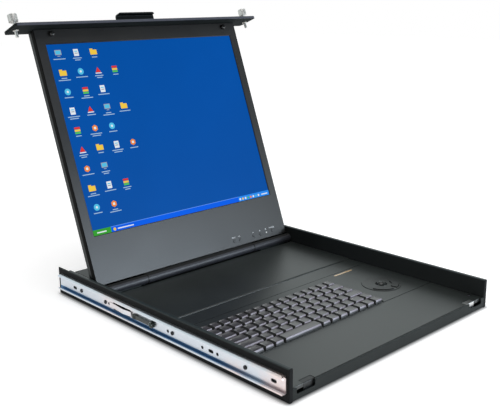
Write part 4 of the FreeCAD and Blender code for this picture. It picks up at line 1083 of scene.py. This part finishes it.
class DRAWER_OT_marks(bpy.types.Operator):
    """Pale marks printed over the control buttons, and the lamp's lit core"""

    bl_idname = "console_drawer.marks"
    bl_label = "Control marks"

    def execute(self, context):
        white = context.scene.drawer_finish.print_white
        face = screen_box("lcd_bezel")[1].z
        finish = Finish("printed_marks")
        finish.paint(finish.noise(900.0), lighter(white, 0.85), white)
        made = [lettering(word, size, (x, WORD_FOOT, face + LIFT))
                for word, x, size in WORDS]
        made += [flat_box(*sign, face, PRINT) for sign in SIGNS]
        made.append(flat_round(SUN_X, SUN_Y, 0.0008, face, 12, PRINT))
        for turn in range(RAYS):
            angle = turn * math.tau / RAYS
            made.append(flat_round(SUN_X + math.cos(angle) * RAY_REACH,
                                   SUN_Y + math.sin(angle) * RAY_REACH, 0.00028, face, 6,
                                   PRINT))
        screen_piece("control_marks", made, finish)
        low, high = screen_box("power_led")
        core = flat_round((low.x + high.x) / 2, (low.y + high.y) / 2,
                          (high.x - low.x) * 0.36, high.z - 0.00002, 16, 0.00006)
        screen_piece("power_led_core", [core], glowing("lit_lamp", (0.66, 0.66, 0.7)))
        return {"FINISHED"}


# ---------------------------------------------------------------- thumbscrews
KNOB = 0.012                     # length of a knob
KNOB_GAP = 0.0005                # from its turned top to the end of its box
KNOB_SIDES = 72                  # faces around a knob, every other one sunk
GROOVE = 0.00022                 # depth of the knurling
SLIT_HALF, SLIT_FLOOR = 0.0006, 0.0044    # of the driver slit, over the knob's middle
COLLAR = 0.0047                  # radius of the collar
COLLAR_FOOT = 0.4209             # where the collar ends, up the screen
SHANK, TIP = 0.0226, 0.0007      # lengths


class DRAWER_OT_thumbscrews(bpy.types.Operator):
    """The two captive screws with knurled knobs"""

    bl_idname = "console_drawer.thumbscrews"
    bl_label = "Thumbscrews"

    def execute(self, context):
        for side in ("left", "right"):
            low, high = screen_box("thumbscrew_" + side)
            radius = (high.x - low.x) / 2
            foot = high.y - KNOB
            knob = start("cylinder", f"thumbscrew_{side}_turned", vertices=KNOB_SIDES,
                         radius=radius - 0.0001, depth=KNOB - KNOB_GAP,
                         location=(0, 0, -KNOB_GAP / 2))
            edit(knob)
            pick("EDGE", lambda spot, way: lying(spot, way) and spot.z > 0.001)
            round_edges(0.0016, 3)
            pick("FACE", lambda spot, way: abs(way.z) < 0.1 and
                 int(round((math.atan2(spot.y, spot.x) + math.pi) * KNOB_SIDES / math.tau
                           - 0.5)) % 2)
            inset(0.00008, depth=-GROOVE, use_individual=True)
            pick("FACE", flat_top)
            inset(0.0022)
            inset(0.0003, depth=-0.0004)
            pick("FACE", lambda spot, way: way.z < -FLAT)
            inset(radius - COLLAR)
            extrude(COLLAR_FOOT - foot)
            inset(0.0021)
            extrude(-SHANK)
            extrude(-TIP)
            bpy.ops.transform.resize(value=(0.75, 0.75, 1))
            leave()
            carve(knob, (-0.01, -SLIT_HALF, SLIT_FLOOR), (0.01, SLIT_HALF, 0.008))
            place = ((low.x + high.x) / 2, foot + KNOB / 2, (low.z + high.z) / 2)
            carried(knob, SCREEN @ Matrix.Translation(place) @
                    Matrix.Rotation(math.radians(-90), 4, "X"))
            smooth(knob, 28)
            dress(knob, FINISHES["nickel"], "thumbscrew_" + side,
                  "thumbscrew_" + side)
        return {"FINISHED"}


# ---------------------------------------------------------------- screws and bumpers
def cross_screw(radius, height):
    """A pan head with a cross recess, standing on the XY plane at the origin."""
    head = start("cylinder", "head", vertices=32, radius=radius, depth=height,
                 location=(0, 0, height / 2))
    edit(head)
    pick("EDGE", lambda spot, way: lying(spot, way) and spot.z > height * 0.6)
    round_edges(min(height * 0.6, radius * 0.3), 4)
    pick("FACE", flat_top)
    inset(radius * 0.1)
    leave()
    arm, half = radius * 0.55, radius * 0.11
    for x, y in ((arm, half), (half, arm)):
        carve(head, (-x, -y, height * 0.45), (x, y, height * 1.5))
    return head


class DRAWER_OT_screws(bpy.types.Operator):
    """Cross-recess screw heads of the tray and the lid"""

    bl_idname = "console_drawer.screws"
    bl_label = "Screw heads"

    def execute(self, context):
        heads = []
        for low, high in islands("tray_screws"):
            size = [b - a for a, b in zip(low, high)]
            foot = Vector([(a + b) / 2 for a, b in zip(low, high)])
            thin = size.index(min(size))
            head = cross_screw(sorted(size)[1] / 2, size[thin])
            turn = Matrix.Identity(4)
            if thin == 2:
                foot.z = low[2]
            else:
                right = foot.x > 0
                foot.x = low[0] if right else high[0]
                turn = Matrix.Rotation(math.radians(90 if right else -90), 4, "Y")
            head.matrix_world = Matrix.Translation(foot) @ turn
            heads.append(head)
        screws = joined("tray_screws_turned", heads)
        smooth(screws, 30)
        dress(screws, FINISHES["black_screw"], "tray", "tray_screws")

        low, high = screen_box("lid_screws")
        radius = (high.y - low.y) / 2
        heads = []
        for x in (low.x + radius, high.x - radius):
            head = cross_screw(radius, high.z - low.z)
            head.location = (x, low.y + radius, low.z)
            heads.append(head)
        screen_piece("lid_screws_turned", heads, FINISHES["black_screw"],
                     "lid_screws", 30)
        return {"FINISHED"}


class DRAWER_OT_bumpers(bpy.types.Operator):
    """Domed rubber bumpers near the screen's top edge"""

    bl_idname = "console_drawer.bumpers"
    bl_label = "Bumpers"

    def execute(self, context):
        low, high = screen_box("lid_bumpers")
        radius = (high.y - low.y) / 2
        height = high.z - low.z
        domes = []
        for x in (low.x + radius, high.x - radius):
            dome = start("cylinder", "dome", vertices=48, radius=radius, depth=height,
                         location=(x, low.y + radius, low.z + height / 2))
            edit(dome)
            pick("EDGE", lambda spot, way: lying(spot, way) and spot.z > low.z + height * 0.6)
            round_edges(height * 0.55, 8)
            pick("EDGE", lambda spot, way: lying(spot, way) and spot.z < low.z + height * 0.01)
            round_edges(height * 0.05)
            leave()
            domes.append(dome)
        screen_piece("lid_bumpers_domed", domes, FINISHES["bumper_rubber"],
                     "lid_bumpers", 50)
        return {"FINISHED"}


# ---------------------------------------------------------------- stage
FLOOR = 14                       # the floor's width and depth
FLOOR_DROP = 0.0005              # how far it lies under the object
# Where the painted shadow under the object fades out, beside it and past its ends: from and to.
CONTACT_X = (0.2090, 0.2215)
CONTACT_Y = (0.2475, 0.2605)
SENSOR = 36                      # the camera's sensor width in millimetres


def lamp(name, place, target, sizes, energy, tint=(1, 1, 1)):
    """A soft rectangular lamp that faces a point."""
    data = bpy.data.lights.new(name, "AREA")
    data.shape = "RECTANGLE"
    data.size, data.size_y = sizes
    data.energy = energy
    data.color = tint
    made = bpy.data.objects.new(name, data)
    bpy.context.collection.objects.link(made)
    made.location = place
    way = Vector(target) - Vector(place)
    made.rotation_euler = way.to_track_quat("-Z", "Y").to_euler()


def floor_finish():
    """Pale floor with a painted shadow under the object, and a glow that no matt surface
    receives.
    """
    finish = Finish("floor", 0.9)
    finish.set("Specular IOR Level", 0.0)
    # Painted shadow: dark on the floor under the object, fading out past its edges.
    under = finish.fade(finish.axis("X").size(), *CONTACT_X) * \
        finish.fade(finish.axis("Y").size(), *CONTACT_Y)
    pale = finish.mix(finish.noise(3.0), (0.79, 0.79, 0.79), (0.82, 0.82, 0.82))
    finish.paint(under, pale, (0.1, 0.1, 0.1))
    seen = finish.ray("Camera") + finish.ray("Glossy") + finish.ray("Transmission")
    far = finish.span(finish.along("LENGTH"), 0.4, 2.4, 0.46, 0.7) * (1 - under * 0.9)
    glow = finish.node("ShaderNodeEmission", None, {"Color": (1, 1, 1, 1), "Strength": far})
    plain = finish.shader.outputs[0]
    lit = finish.node("ShaderNodeAddShader", None, {0: plain, 1: glow.outputs[0]})
    finish.show(finish.cover(seen > 0.5, plain, lit.outputs[0]))
    return finish


def room(world, settings):
    """Plain light on the object, white to the camera, and a dim ceiling in reflections."""
    world.use_nodes = True
    nodes = Nodes(world.node_tree)
    plain = nodes.tree.nodes["Background"]
    nodes.feed(plain, {"Color": (1, 1, 1, 1), "Strength": settings.sky})
    white = nodes.node("ShaderNodeBackground", None, {"Color": (1, 1, 1, 1), "Strength": 1.0})
    way = nodes.node("ShaderNodeTexCoord").outputs["Generated"]
    split = nodes.node("ShaderNodeSeparateXYZ", None, {0: way})
    lean = Value(nodes, split.outputs["Y"]) * -0.35 + Value(nodes, split.outputs["Z"])
    fall = nodes.span(lean, 0.42, 0.72, 1.0, settings.ceiling)
    ceiling = nodes.node("ShaderNodeBackground", None,
                         {"Color": (0.92, 1.0, 1.0, 1), "Strength": fall})
    seen = plain.outputs[0]
    for kind, shown in (("Glossy", ceiling), ("Transmission", white), ("Camera", white)):
        seen = nodes.cover(nodes.ray(kind), seen, shown.outputs[0])
    nodes.feed(nodes.tree.nodes["World Output"], {"Surface": seen})


def camera(settings):
    """The camera, turned by its yaw, pitch and roll."""
    data = bpy.data.cameras.new("camera")
    data.lens = settings.lens
    data.sensor_width = SENSOR
    made = bpy.data.objects.new("camera", data)
    bpy.context.collection.objects.link(made)
    yaw, pitch, roll = settings.yaw, settings.pitch, settings.roll
    forward = Vector((math.sin(yaw) * math.cos(pitch), math.cos(yaw) * math.cos(pitch),
                      -math.sin(pitch)))
    right = Vector((math.cos(yaw), -math.sin(yaw), 0))
    up = right.cross(forward)
    across = right * math.cos(roll) + up * math.sin(roll)
    above = up * math.cos(roll) - right * math.sin(roll)
    axes = zip(across, above, -forward, settings.place)
    made.matrix_world = Matrix((*axes, (0, 0, 0, 1)))
    return made


class DRAWER_OT_stage(bpy.types.Operator):
    """Pale floor, soft lamps, room and camera"""

    bl_idname = "console_drawer.stage"
    bl_label = "Stage"

    def execute(self, context):
        settings = context.scene.drawer_stage
        floor = start("plane", "floor", size=1, location=(0, 0, -FLOOR_DROP))
        edit_all(floor)
        bpy.ops.mesh.subdivide(number_cuts=1)
        bpy.ops.transform.resize(value=(FLOOR, FLOOR, 1))
        leave()
        floor.data.materials.append(floor_finish().material)
        context.scene.world = bpy.data.worlds.new("room")
        room(context.scene.world, settings)
        lamp("overhead", (0.0, -0.2, 2.2), (0, 0, 0), (2.2, 2.2), 26)
        lamp("low_card", (1.15, -2.1, 0.55), (-0.1, 0.15, 0.05), (1.3, 0.75), 32,
             (0.76, 0.88, 1.0))
        context.scene.camera = camera(settings)
        context.scene.view_settings.view_transform = "Standard"
        return {"FINISHED"}


# ---------------------------------------------------------------- panel and start
OPERATORS = (
    DRAWER_OT_finishes,
    DRAWER_OT_keycaps,
    DRAWER_OT_trackball,
    DRAWER_OT_picture,
    DRAWER_OT_marks,
    DRAWER_OT_thumbscrews,
    DRAWER_OT_screws,
    DRAWER_OT_bumpers,
    DRAWER_OT_stage,
)
SETTINGS = {"drawer_finish": FinishSettings, "drawer_keys": KeySettings,
            "drawer_stage": StageSettings}


class DRAWER_PT_panel(bpy.types.Panel):
    """The console drawer's settings and steps"""

    bl_idname = "DRAWER_PT_panel"
    bl_label = "Console drawer"
    bl_space_type = "VIEW_3D"
    bl_region_type = "UI"
    bl_category = "Console drawer"

    def draw(self, context):
        for place in SETTINGS:
            group = getattr(context.scene, place)
            column = self.layout.column()
            for name in group.bl_rna.properties.keys():
                if name not in ("rna_type", "name"):
                    column.prop(group, name)
        for operator in OPERATORS:
            self.layout.operator(operator.bl_idname)


CLASSES = (*SETTINGS.values(), *OPERATORS, DRAWER_PT_panel)


def register():
    """Register the classes and hang their settings on the scene."""
    for item in CLASSES:
        bpy.utils.register_class(item)
    for place, group in SETTINGS.items():
        setattr(bpy.types.Scene, place, PointerProperty(type=group))


def unregister():
    """Take the settings and the classes off again."""
    for place in SETTINGS:
        delattr(bpy.types.Scene, place)
    for item in reversed(CLASSES):
        bpy.utils.unregister_class(item)


def main():
    """Build everything in order."""
    register()
    for operator in OPERATORS:
        group, name = operator.bl_idname.split(".")
        getattr(getattr(bpy.ops, group), name)()


if __name__ == "__main__":
    main()
